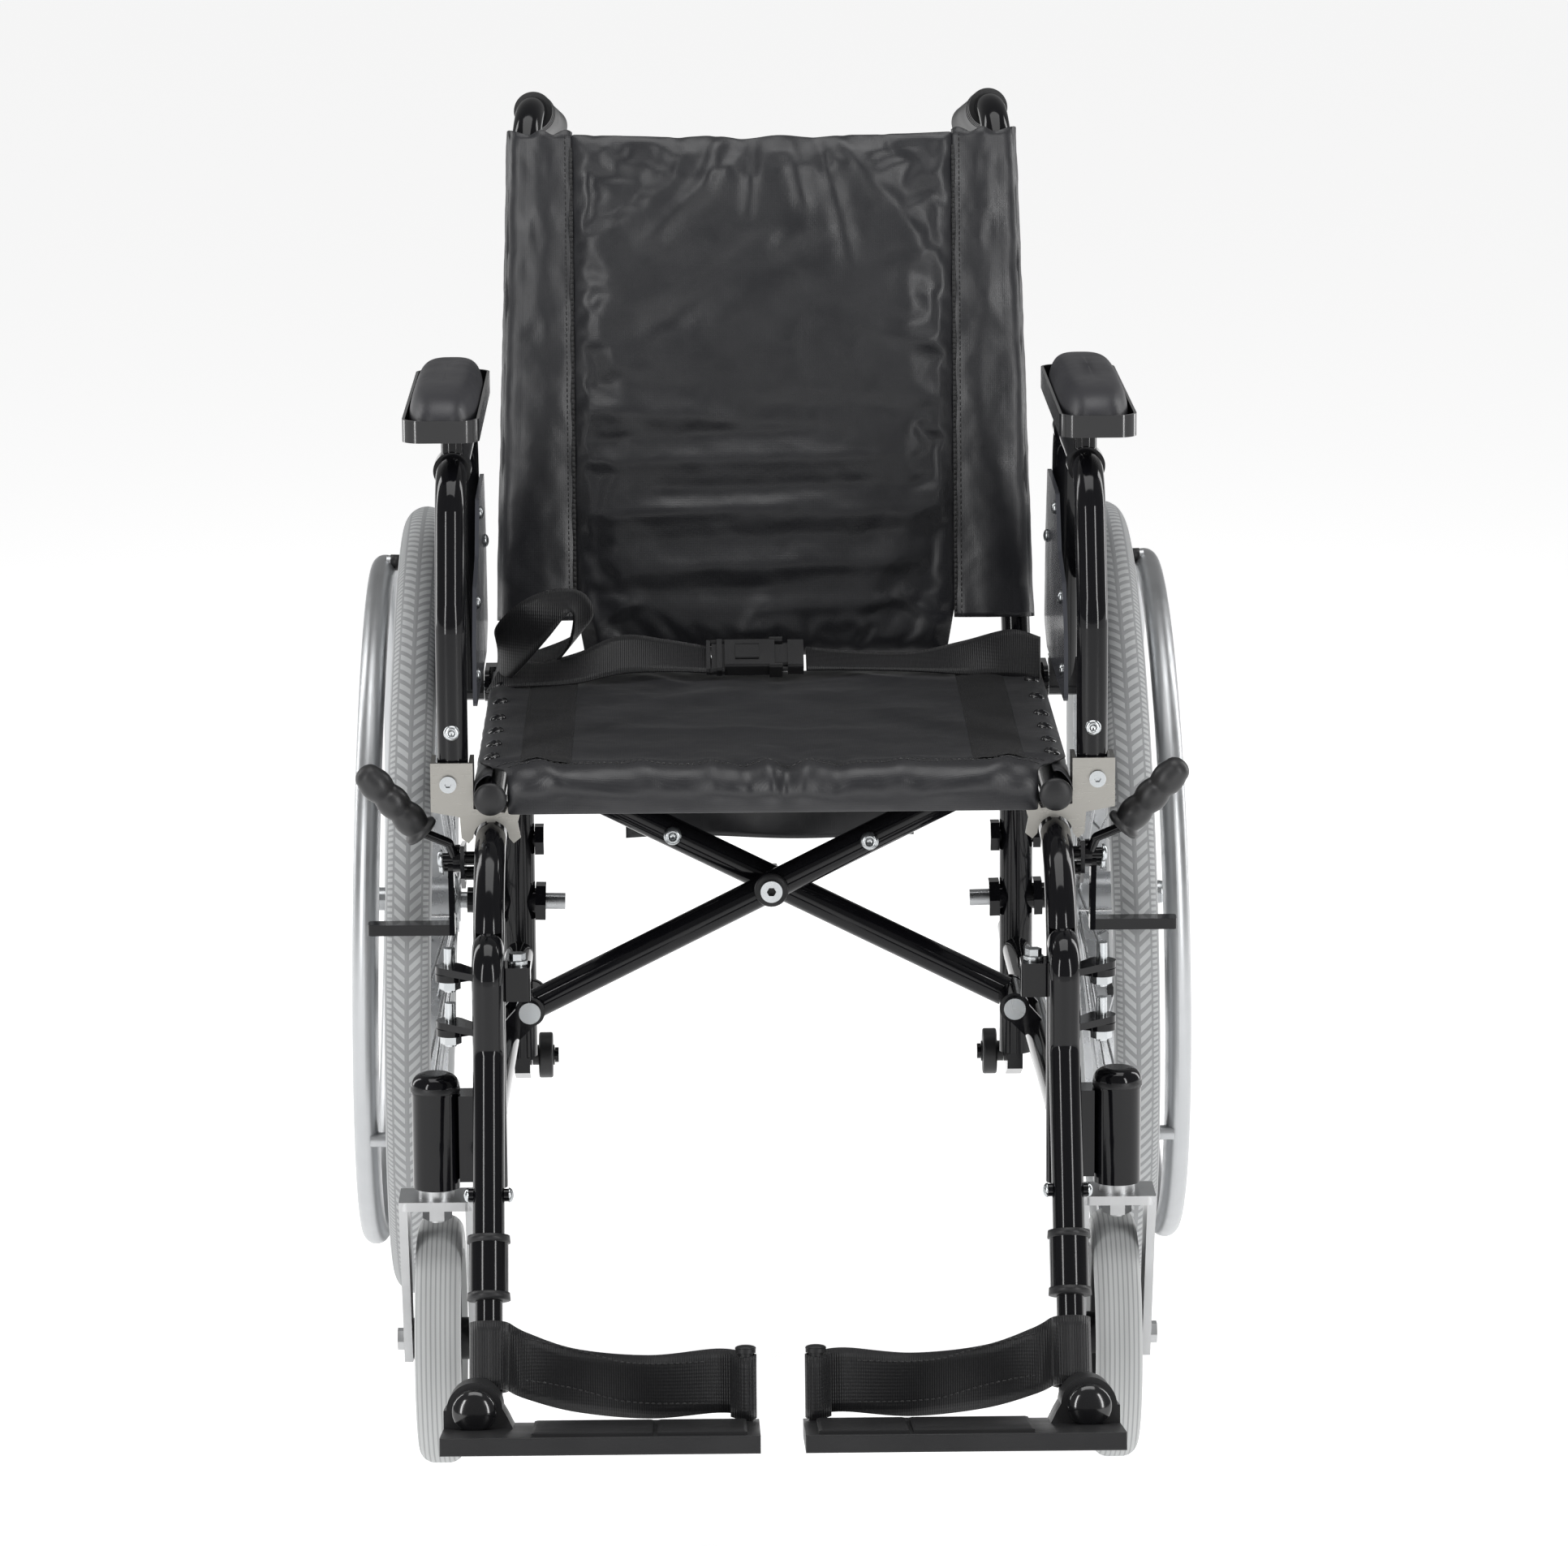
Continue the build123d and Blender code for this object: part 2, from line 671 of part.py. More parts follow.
def hanger(side_name, side):
    """Swing-away hanger with clamp collar, footrest tube, footplate and heel strap."""
    down = Vector(0, hanger_y(100) - hanger_y(200), -100).normalized()
    with BuildPart() as upper:
        add(tube(
            [
                (side * 200, HANGER_Y + 22, HANGER_TOP_Z),
                (side * 200, HANGER_Y, HANGER_TOP_Z),
                (side * 200, HANGER_Y, HANGER_KINK_Z),
                (side * 200, hanger_y(166), 166),
            ],
            TUBE_R, TUBE_R - 9.58, 20,
        ))
        for lug in HINGE_LUGS:
            with BuildSketch(Plane.XY.offset(lug + 5.5)):
                with Locations((side * HINGE_X, HINGE_Y)):
                    Circle(10)
                with BuildLine():
                    Polyline(
                        (side * (HINGE_X - 7), HINGE_Y + 7),
                        (side * (HINGE_X + 7), HINGE_Y - 7),
                        (side * 207, HANGER_Y - 7),
                        (side * 203, HANGER_Y + 7),
                        close=True,
                    )
                make_face()
            extrude(amount=5)
        # plastic clamp collar at the lower end
        with BuildSketch(Plane(origin=(side * 200, hanger_y(197), 197), z_dir=down)):
            Circle(13.6)
            Circle(TUBE_R - 0.5, mode=Mode.SUBTRACT)
        extrude(amount=42)
        with BuildSketch(Plane(origin=(side * 200, hanger_y(210), 210), z_dir=down)):
            Circle(9.58)
        extrude(amount=70, mode=Mode.SUBTRACT)
        with BuildSketch(Plane.XY.offset(320)):
            with Locations((side * HINGE_X, HINGE_Y)):
                Circle(4.03)
        extrude(amount=60, mode=Mode.SUBTRACT)
        # rivet heads either side of the lower part
        for outer in (-1, 1):
            with BuildSketch(Plane.YZ.offset(side * 200 + outer * 10.6)):
                with Locations((hanger_y(224), 224)):
                    Circle(4.5)
            extrude(amount=outer * 3.4)
    save(upper.part, f"hanger_{side_name}")

    top = Vector(side * 200, hanger_y(262), 262)
    with BuildPart() as barrel:
        with BuildSketch(Plane.XZ.offset(-BARREL_BACK)):
            with Locations((side * FOOT_X, FOOT_Z)):
                Circle(11)
        extrude(amount=BARREL_BACK - BARREL_FRONT)
        with BuildSketch(Plane.XZ.offset(-BARREL_BACK)):
            with Locations((side * FOOT_X, FOOT_Z)):
                Circle(4)
        extrude(amount=56)
    with BuildPart() as lower:
        with BuildSketch(Plane(origin=top, z_dir=down)):
            Circle(9.5)
            Circle(7.5, mode=Mode.SUBTRACT)
        extrude(amount=(262 - 88) / sin(radians(HANGER_ANGLE)))
        # barrel at the foot that carries the footplate bolt
        add(tilted(barrel.part))
    save(lower.part, f"footrest_tube_{side_name}")

    cheek_y = BARREL_FRONT - 0.4
    with BuildPart() as plate:
        # tread
        with BuildSketch(Plane.XZ.offset(-PLATE_BACK_Y)):
            with BuildLine():
                Polyline(
                    (side * PLATE_OUTER_X, PLATE_BOTTOM),
                    (side * PLATE_INNER_X, PLATE_BOTTOM),
                    (side * PLATE_INNER_X, PLATE_TOP),
                    (side * PLATE_OUTER_X, PLATE_TOP),
                    close=True,
                )
            make_face()
        extrude(amount=PLATE_BACK_Y - PLATE_FRONT_Y)
        # cheek that holds the hinge bolt in front of the tube
        with BuildSketch(Plane.XZ.offset(-cheek_y)):
            with Locations((side * FOOT_X, FOOT_Z)):
                Circle(19)
            with BuildLine():
                Polyline(
                    (side * PLATE_OUTER_X, PLATE_BOTTOM),
                    (side * PLATE_OUTER_X, FOOT_Z),
                    (side * 192, FOOT_Z + 6),
                    (side * 186, FOOT_Z - 4),
                    (side * 176, PLATE_BOTTOM),
                    close=True,
                )
            make_face()
        extrude(amount=42)
        # room for the fixed barrel and the lower end of the tube
        with BuildSketch(Plane.XY.offset(PLATE_BOTTOM - 1)):
            with Locations((side * 191, (PLATE_BACK_Y + 20 + cheek_y) / 2)):
                Rectangle(78, PLATE_BACK_Y + 20 - cheek_y)
        extrude(amount=60, mode=Mode.SUBTRACT)
        with BuildSketch(Plane.XZ.offset(-(cheek_y + 4))):
            with Locations((side * FOOT_X, FOOT_Z)):
                Circle(4.06)
        extrude(amount=41, mode=Mode.SUBTRACT)
        # dome knob on the front of the cheek
        with BuildSketch(Plane.XZ.offset(-(cheek_y - 42))):
            with Locations((side * FOOT_X, FOOT_Z)):
                Circle(15)
        extrude(amount=6)
        fillet(plate.faces().sort_by(Axis.Y)[0].edges(), 0.8)
        # peg for the heel strap at the inner end
        with BuildSketch(Plane.XY.offset(PLATE_TOP)):
            with Locations((side * PEG_X, PEG_Y)):
                Circle(5)
        extrude(amount=46)
        with BuildSketch(Plane.XY.offset(PLATE_TOP + 46)):
            with Locations((side * PEG_X, PEG_Y)):
                Circle(7)
        extrude(amount=3)
    save(tilted(plate.part), f"footplate_{side_name}")

    # heel strap: a sloping band from the footrest tube round to the peg
    slope = Plane(origin=(side * 200, 0, 133), x_dir=(1, 0, side * 0.123), z_dir=(-side * 0.123, 0, 1))
    with BuildPart() as strap:
        with BuildSketch(slope.offset(-20)):
            route = [(-side * 11.2, hanger_y(133)), (-side * 40, -383), (-side * 100, -380), (-side * 166, -412)]
            add(band(route, 1.0))
        extrude(amount=40)
        with BuildSketch(Plane(origin=(side * 200, hanger_y(154), 154), z_dir=down)):
            Circle(12)
            Circle(9.9, mode=Mode.SUBTRACT)
        extrude(amount=43)
    save(strap.part, f"heel_strap_{side_name}")


def brake(side_name, side):
    """Push-to-lock wheel brake: base with standoffs, lever, grip and shoe bar."""
    with BuildPart() as base:
        with BuildSketch(Plane.YZ.offset(side * 221)):
            with BuildLine():
                Polyline(
                    (LEVER_Y - 14, 402),
                    (LEVER_Y - 14, 426),
                    (SHOE_Y + 12, 420),
                    (SHOE_Y + 12, 394),
                    (SHOE_Y - 12, 390),
                    close=True,
                )
            make_face()
        extrude(amount=side * 3)
        # clamp under the side tube and two standoffs
        with BuildSketch(Plane.XZ.offset(-(LEVER_Y - 14))):
            with Locations((side * 200, SIDE_TUBE_Z)):
                Circle(15)
                Circle(11.02, mode=Mode.SUBTRACT)
            with Locations((side * 202, SIDE_TUBE_Z - 27)):
                Rectangle(12, 30)
            with Locations((side * 200, SIDE_TUBE_Z)):
                Circle(11.02, mode=Mode.SUBTRACT)
        extrude(amount=-28)
        with BuildSketch(Plane.YZ.offset(side * 206)):
            with Locations((LEVER_Y, LEVER_Z), (SHOE_Y - 6, SHOE_Z - 4)):
                Circle(5)
        extrude(amount=side * 16)
        with BuildSketch(Plane.YZ.offset(side * 223)):
            with Locations((LEVER_Y, LEVER_Z), (SHOE_Y, SHOE_Z)):
                Circle(4)
        extrude(amount=side * 14)
    save(base.part, f"brake_base_{side_name}")

    grip_low = Vector(side * 250, LEVER_Y - 22, 438)
    grip_top = Vector(side * 293, LEVER_Y - 34, 487)
    with BuildPart() as lever:
        with BuildSketch(Plane.YZ.offset(side * 224.4)):
            with Locations((LEVER_Y, LEVER_Z)):
                Circle(10)
                Circle(4.06, mode=Mode.SUBTRACT)
        extrude(amount=side * 5)
        add(tube(
            [
                (side * 228.6, LEVER_Y - 6, LEVER_Z + 4),
                (side * 232, LEVER_Y - 12, LEVER_Z + 14),
                tuple(grip_low),
                tuple(grip_low + (grip_top - grip_low) * 0.7),
            ],
            3.5, 0, 4,
        ))
        with BuildSketch(Plane.YZ.offset(side * 224.2)):
            with Locations((LEVER_Y, LEVER_Z)):
                Circle(4.06)
        extrude(amount=side * 12, mode=Mode.SUBTRACT)
    save(lever.part, f"brake_lever_{side_name}")

    with BuildPart() as grip:
        with BuildSketch(Plane(origin=grip_low, z_dir=grip_top - grip_low)):
            Circle(11)
        extrude(amount=(grip_top - grip_low).length)
        fillet(grip.edges(), 5)
        with BuildSketch(Plane(origin=grip_low - (grip_top - grip_low) * 0.1, z_dir=grip_top - grip_low)):
            Circle(3.52)
        extrude(amount=(grip_top - grip_low).length * 0.82, mode=Mode.SUBTRACT)
        add(lever.part, mode=Mode.SUBTRACT)
    save(grip.part, f"brake_grip_{side_name}")

    with BuildPart() as shoe:
        with BuildSketch(Plane.YZ.offset(side * 229.9)):
            with Locations((SHOE_Y, SHOE_Z)):
                Circle(9)
            with BuildLine():
                Polyline(
                    (SHOE_Y - 9, SHOE_Z),
                    (SHOE_Y + 9, SHOE_Z),
                    (SHOE_Y + 17, 352),
                    (SHOE_Y + 2, 352),
                    close=True,
                )
            make_face()
            with Locations((SHOE_Y, SHOE_Z)):
                Circle(4.06, mode=Mode.SUBTRACT)
        extrude(amount=side * 4)
        with BuildSketch(Plane.XY.offset(352)):
            with Locations((side * 261.5, SHOE_Y + 9.5)):
                RectangleRounded(63, 15, 3)
        extrude(amount=8)
    save(shoe.part, f"brake_shoe_{side_name}")


def transit_roller(name, side):
    """Small rubber transit wheel behind the side frame."""
    with BuildPart() as roller:
        with BuildSketch(Plane.YZ.offset(side * 169.5)):
            with Locations((ROLLER_Y, ROLLER_Z)):
                Circle(18)
        extrude(amount=side * 11)
        fillet(roller.edges(), 1.6)
        with BuildSketch(Plane.YZ.offset(side * 168.3)):
            with Locations((ROLLER_Y, ROLLER_Z)):
                Circle(8)
        extrude(amount=side * 17.4)
        with BuildSketch(Plane.YZ.offset(side * 167.2)):
            with Locations((ROLLER_Y, ROLLER_Z)):
                Circle(4.06)
        extrude(amount=side * 20, mode=Mode.SUBTRACT)
    save(roller.part, name)


def brace(name, side, y):
    """One cross-brace tube with its pivot sleeve and the seat rail it carries.

    side is the side of the seat rail; the pivot is on the other side.
    """
    along = Vector(side * 1, 0, BRACE_SLOPE).normalized()
    pivot = Vector(-side * PIVOT_X, y, PIVOT_Z)
    reach = Vector(side * (RAIL_X - 3), y, CROSS_Z + (RAIL_X - 3) * BRACE_SLOPE)
    with BuildPart() as arm:
        add(rod(tuple(pivot + along * 6), tuple(reach), TUBE_R))
        with BuildSketch(Plane.XZ.offset(-SLEEVE_FRONT)):
            with Locations((-side * PIVOT_X, PIVOT_Z)):
                Circle(10.5)
        extrude(amount=-(SLEEVE_BACK - SLEEVE_FRONT))
        with BuildSketch(Plane.XZ.offset(-RAIL_FRONT)):
            with Locations((side * RAIL_X, RAIL_Z)):
                Circle(RAIL_R)
        extrude(amount=-(RAIL_BACK - RAIL_FRONT))
        # round end cap in front of the saddle
        with BuildSketch(Plane.XZ.offset(-(RAIL_FRONT - 4))):
            with Locations((side * RAIL_X, RAIL_Z)):
                Circle(RAIL_R + 0.4)
        extrude(amount=-4)
        with BuildSketch(Plane.XZ.offset(-(SLEEVE_FRONT - 5))):
            with Locations((-side * PIVOT_X, PIVOT_Z)):
                Circle(5.02)
        extrude(amount=-60, mode=Mode.SUBTRACT)
        with BuildSketch(Plane.XZ.offset(-(y - 20))):
            with Locations((0, CROSS_Z)):
                Circle(5.06 if side < 0 else 5.03)
        extrude(amount=-40, mode=Mode.SUBTRACT)
    save(arm.part, name)


def brace_bolt():
    """Bolt through the crossing of the two braces, with cap and nut."""
    with BuildPart() as bolt:
        with BuildSketch(Plane.XZ.offset(-(BRACE_FRONT_Y - 11.2))):
            with Locations((0, CROSS_Z)):
                Circle(5)
        extrude(amount=-54)
        with BuildSketch(Plane.XZ.offset(-(BRACE_FRONT_Y - 11.2))):
            with Locations((0, CROSS_Z)):
                Circle(11)
        extrude(amount=4)
        with BuildSketch(Plane.XZ.offset(-(BRACE_FRONT_Y - 15.2))):
            with Locations((0, CROSS_Z)):
                Circle(8)
                RegularPolygon(3.5, 6, mode=Mode.SUBTRACT)
        extrude(amount=5)
        with BuildSketch(Plane.XZ.offset(-(BRACE_REAR_Y + 11.3))):
            with Locations((0, CROSS_Z)):
                RegularPolygon(8, 6, major_radius=False)
        extrude(amount=-7)
    save(bolt.part, "brace_bolt")


def seat_sling():
    """Seat cloth over the two rails, with a front drop and turned-down side edges."""
    front, back = -190.0, 205.0
    with BuildPart() as seat:
        with BuildSketch(Plane.XZ.offset(-front)):
            with BuildLine():
                Polyline(
                    (-211.8, 477), (-211.8, 494), (211.8, 494), (211.8, 477),
                    (210.4, 477), (210.4, 482.4), (-210.4, 482.4), (-210.4, 477),
                    close=True,
                )
            make_face()
        extrude(amount=-(back - front))
        with BuildSketch(Plane.XZ.offset(-front)):
            with Locations((0, 470)):
                Rectangle(372, 30)
        extrude(amount=-2.5)
    save(seat.part, "seat_sling")


def back_sling():
    """Back cloth stretched in front of the canes, down to the seat in the middle."""
    with BuildPart() as back:
        with BuildSketch(Plane.YZ.offset(-203.5)):
            with BuildLine():
                Polyline((212, 524), (265.5, 896), (273, 896), (219.5, 524), close=True)
            make_face()
        extrude(amount=407)
        with BuildSketch(Plane.YZ.offset(-150)):
            with BuildLine():
                Polyline((209, 497), (212, 525), (219.5, 525), (216, 497), close=True)
            make_face()
        extrude(amount=300)
    save(back.part, "back_sling")


def seat_belt():
    """Lap belt standing along the back edge of the seat, and its buckle."""
    belt_y = 199.0
    with BuildPart() as belt:
        with BuildSketch(Plane.XY.offset(494.5)):
            for side in (-1, 1):
                route = [(36, belt_y), (110, belt_y - 2), (170, belt_y), (200, belt_y + 3)]
                add(band([(side * x, y) for x, y in route], 1.2))
        extrude(amount=32)
    save(belt.part, "seat_belt")

    with BuildPart() as buckle:
        with BuildSketch(Plane.XY.offset(494.5)):
            with Locations((0, belt_y)):
                RectangleRounded(66, 13, 4)
        extrude(amount=34)
        with BuildSketch(Plane.XY.offset(494)):
            with Locations((-35, belt_y), (35, belt_y)):
                Rectangle(8, 4)
        extrude(amount=40, mode=Mode.SUBTRACT)
    save(buckle.part, "belt_buckle")


def under_seat_flap():
    """Cloth flap that hangs under the seat behind the brace."""
    with BuildPart() as flap:
        with BuildSketch(Plane.XY.offset(395)):
            with Locations((0, 30)):
                Rectangle(214, 3)
        extrude(amount=87)
    save(flap.part, "under_seat_flap")


for side_name, side in SIDES:
    side_frame(f"side_frame_{side_name}", side)
    back_cane(f"back_cane_{side_name}", side)
    push_grip(f"push_grip_{side_name}", side)
    seat_bracket(f"seat_bracket_{side_name}", side)
    axle_receiver(f"axle_receiver_{side_name}", side)
    frame_fasteners(f"frame_fasteners_{side_name}", side)
    armrest(side_name, side)
    rear_wheel(side_name, side)
    caster(side_name, side)
    hanger(side_name, side)
    brake(side_name, side)
    transit_roller(f"transit_roller_{side_name}", side)

brace("brace_front", 1, BRACE_FRONT_Y)
brace("brace_rear", -1, BRACE_REAR_Y)
brace_bolt()
seat_sling()
back_sling()
seat_belt()
under_seat_flap()
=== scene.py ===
import bpy
import json
from math import cos, exp, hypot, pi, radians, sin, sqrt, tan
from mathutils import Matrix, Vector, noise
from mathutils.bvhtree import BVHTree


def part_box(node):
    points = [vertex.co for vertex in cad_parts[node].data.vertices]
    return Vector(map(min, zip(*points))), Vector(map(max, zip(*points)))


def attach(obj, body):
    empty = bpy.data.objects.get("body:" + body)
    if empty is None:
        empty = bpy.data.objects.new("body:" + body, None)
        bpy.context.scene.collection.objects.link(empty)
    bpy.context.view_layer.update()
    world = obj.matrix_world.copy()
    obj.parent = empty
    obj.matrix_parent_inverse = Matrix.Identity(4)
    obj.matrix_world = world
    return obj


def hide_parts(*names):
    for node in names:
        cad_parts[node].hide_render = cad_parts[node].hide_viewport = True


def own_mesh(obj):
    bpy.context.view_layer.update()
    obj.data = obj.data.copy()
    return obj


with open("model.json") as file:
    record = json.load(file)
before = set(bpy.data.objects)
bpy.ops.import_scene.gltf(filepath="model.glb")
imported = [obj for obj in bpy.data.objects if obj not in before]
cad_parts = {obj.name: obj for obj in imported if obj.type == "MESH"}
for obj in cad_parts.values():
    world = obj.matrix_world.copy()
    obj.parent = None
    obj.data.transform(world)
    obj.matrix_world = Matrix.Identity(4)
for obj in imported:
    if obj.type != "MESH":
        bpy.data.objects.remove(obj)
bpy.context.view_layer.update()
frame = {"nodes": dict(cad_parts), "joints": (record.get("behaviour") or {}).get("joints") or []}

# Looks of a folding manual wheelchair. Metres, +Z up, front toward -Y, "left" is +X.
NODES = frame["nodes"]
SIDES = (("left", 1.0), ("right", -1.0))
MM = 0.001
scene = bpy.context.scene
view_layer = bpy.context.view_layer


# ---------------------------------------------------------------- materials
class Shader:
    """A principled material with a few short-hands for building its nodes."""

    def __init__(self, name, color, roughness, metallic=0.0, coat=0.0, sheen=0.0, specular=0.5):
        self.material = bpy.data.materials.new(name)
        self.material.use_nodes = True
        self.tree = self.material.node_tree
        self.bsdf = self.tree.nodes["Principled BSDF"]
        self.color = color
        self.set("Base Color", (*color, 1.0))
        self.set("Roughness", roughness)
        self.set("Metallic", metallic)
        self.set("Coat Weight", coat)
        self.set("Coat Roughness", 0.06)
        self.set("Sheen Weight", sheen)
        self.set("Sheen Roughness", 0.45)
        self.set("Specular IOR Level", specular)
        self.coords = self.tree.nodes.new("ShaderNodeTexCoord").outputs["Object"]
        self.height = None

    def set(self, socket, value):
        self.bsdf.inputs[socket].default_value = value

    def link(self, a, b):
        self.tree.links.new(a, b)

    def math(self, operation, a, b=None):
        node = self.tree.nodes.new("ShaderNodeMath")
        node.operation = operation
        for socket, value in zip(node.inputs, (a, b)):
            if value is None:
                continue
            if isinstance(value, (int, float)):
                socket.default_value = value
            else:
                self.link(value, socket)
        return node.outputs[0]

    def vector(self, operation, a, b):
        node = self.tree.nodes.new("ShaderNodeVectorMath")
        node.operation = operation
        self.link(a, node.inputs[0])
        node.inputs[1].default_value = b
        return node.outputs["Value"] if operation == "DOT_PRODUCT" else node.outputs["Vector"]

    def split(self, vector):
        node = self.tree.nodes.new("ShaderNodeSeparateXYZ")
        self.link(vector, node.inputs[0])
        return node.outputs

    def noise(self, scale, detail=3.0, stretch=(1.0, 1.0, 1.0)):
        mapping = self.tree.nodes.new("ShaderNodeMapping")
        mapping.inputs["Scale"].default_value = stretch
        self.link(self.coords, mapping.inputs["Vector"])
        node = self.tree.nodes.new("ShaderNodeTexNoise")
        node.inputs["Scale"].default_value = scale
        node.inputs["Detail"].default_value = detail
        self.link(mapping.outputs[0], node.inputs["Vector"])
        return node.outputs["Fac"]

    def wave(self, value, pitch):
        """0..1 ripple along a length in metres."""
        turned = self.math("SINE", self.math("MULTIPLY", value, 2 * pi / pitch))
        return self.math("MULTIPLY", self.math("ADD", turned, 1.0), 0.5)

    def between(self, value, low, high):
        """1 where low < value < high."""
        above = self.math("GREATER_THAN", value, low)
        below = self.math("LESS_THAN", value, high)
        return self.math("MULTIPLY", above, below)

    def add_height(self, value, strength, distance):
        node = self.tree.nodes.new("ShaderNodeBump")
        node.inputs["Strength"].default_value = strength
        node.inputs["Distance"].default_value = distance
        self.link(value, node.inputs["Height"])
        if self.height is not None:
            self.link(self.height, node.inputs["Normal"])
        self.height = node.outputs["Normal"]
        self.link(self.height, self.bsdf.inputs["Normal"])
        return self

    def tint(self, factor, other):
        """Mix the base colour toward another by a 0..1 factor, on top of earlier tints."""
        node = self.tree.nodes.new("ShaderNodeMix")
        node.data_type = "RGBA"
        self.link(factor, node.inputs["Factor"])
        source = self.bsdf.inputs["Base Color"]
        if source.links:
            self.link(source.links[0].from_socket, node.inputs["A"])
        else:
            node.inputs["A"].default_value = (*self.color, 1.0)
        node.inputs["B"].default_value = (*other, 1.0)
        self.link(node.outputs["Result"], source)
        return self

    def rough(self, factor, low, high):
        node = self.tree.nodes.new("ShaderNodeMapRange")
        node.inputs["From Min"].default_value = 0.3
        node.inputs["From Max"].default_value = 0.7
        node.inputs["To Min"].default_value = low
        node.inputs["To Max"].default_value = high
        self.link(factor, node.inputs["Value"])
        self.link(node.outputs[0], self.bsdf.inputs["Roughness"])
        return self


def metal(name, color, low, high, stretch=(1, 1, 1), grain=0.05):
    shader = Shader(name, color, low, metallic=1.0)
    shader.rough(shader.noise(60, stretch=stretch), low, high)
    shader.add_height(shader.noise(420, stretch=stretch), grain, 0.0004)
    return shader


def plastic(name, color, roughness, grain, coat=0.0, scale=1500):
    shader = Shader(name, color, roughness, coat=coat)
    shader.rough(shader.noise(25), roughness * 0.85, roughness * 1.2)
    return shader.add_height(shader.noise(scale, 2.0), grain, 0.0003)


def cloth(name, color, roughness, sheen, second_axis):
    """Fine plain weave: threads across the chair and along the second axis."""
    shader = Shader(name, color, roughness, sheen=sheen, specular=0.55)
    axes = shader.split(shader.coords)
    warp = shader.wave(axes["X"], 0.0011)
    weft = shader.wave(axes[second_axis], 0.0011)
    shader.add_height(shader.math("MULTIPLY", warp, weft), 0.25, 0.0002)
    shader.add_height(shader.noise(55, 5.0), 0.35, 0.0016)
    shader.tint(shader.math("MULTIPLY", shader.noise(14, 4.0), 0.35), tuple(1.7 * c for c in color))
    shader.rough(shader.noise(30, 4.0), roughness - 0.06, roughness + 0.08)
    return shader


PAINT = Shader("gloss_black_paint", (0.004, 0.004, 0.005), 0.12, coat=0.12, specular=0.24)
PAINT.rough(PAINT.noise(18), 0.07, 0.13)
PAINT.add_height(PAINT.noise(260, 2.0), 0.04, 0.0004)
ZINC = metal("zinc_plate", (0.52, 0.53, 0.53), 0.20, 0.32, grain=0.02)
ZINC.tint(ZINC.math("MULTIPLY", ZINC.noise(90), 0.4), (0.46, 0.52, 0.58))
NICKEL = metal("brushed_nickel", (0.36, 0.35, 0.325), 0.26, 0.36, stretch=(1, 1, 14), grain=0.16)
FORK = metal("satin_alloy", (0.50, 0.505, 0.51), 0.34, 0.44, grain=0.04)
HANDRIM = metal("satin_handrim", (0.47, 0.48, 0.49), 0.34, 0.42, grain=0.02)
WHEEL = metal("bright_wheel", (0.44, 0.45, 0.46), 0.22, 0.34, grain=0.01)
RUBBER = plastic("black_rubber", (0.014, 0.014, 0.015), 0.42, 0.25, scale=900)
MATTE = plastic("matte_black_plastic", (0.017, 0.017, 0.018), 0.40, 0.35)
GLOSS = plastic("gloss_black_plastic", (0.008, 0.008, 0.009), 0.14, 0.03, coat=0.3)
PAD = plastic("moulded_pad", (0.022, 0.022, 0.026), 0.42, 0.5, scale=1100)
PANEL = plastic("smoky_panel", (0.055, 0.057, 0.066), 0.20, 0.02)
PANEL.set("Specular IOR Level", 0.22)
MATTE.set("Specular IOR Level", 0.32)
BACK_CLOTH = cloth("nylon_back", (0.0092, 0.0095, 0.0116), 0.39, 0.06, "Z")
SEAT_CLOTH = cloth("nylon_seat", (0.0082, 0.0084, 0.0104), 0.42, 0.05, "Y")
THREAD = Shader("black_thread", (0.008, 0.008, 0.009), 0.6, sheen=0.3)
VELCRO = Shader("hook_strip", (0.0035, 0.0035, 0.004), 0.9, sheen=0.06, specular=0.25)
VELCRO.add_height(VELCRO.noise(1400, 2.0), 0.9, 0.0012)
VELCRO.tint(VELCRO.noise(700), (0.010, 0.010, 0.011))


def webbing(name, second_axis, ribs_axis):
    shader = Shader(name, (0.006, 0.006, 0.007), 0.45, sheen=0.12, specular=0.35)
    axes = shader.split(shader.coords)
    ribs = shader.wave(axes[ribs_axis], 0.0016)
    cross = shader.wave(axes[second_axis], 0.0024)
    shader.add_height(ribs, 0.5, 0.0004)
    shader.add_height(cross, 0.2, 0.0003)
    return shader


WEB = webbing("black_webbing", "Z", "X")


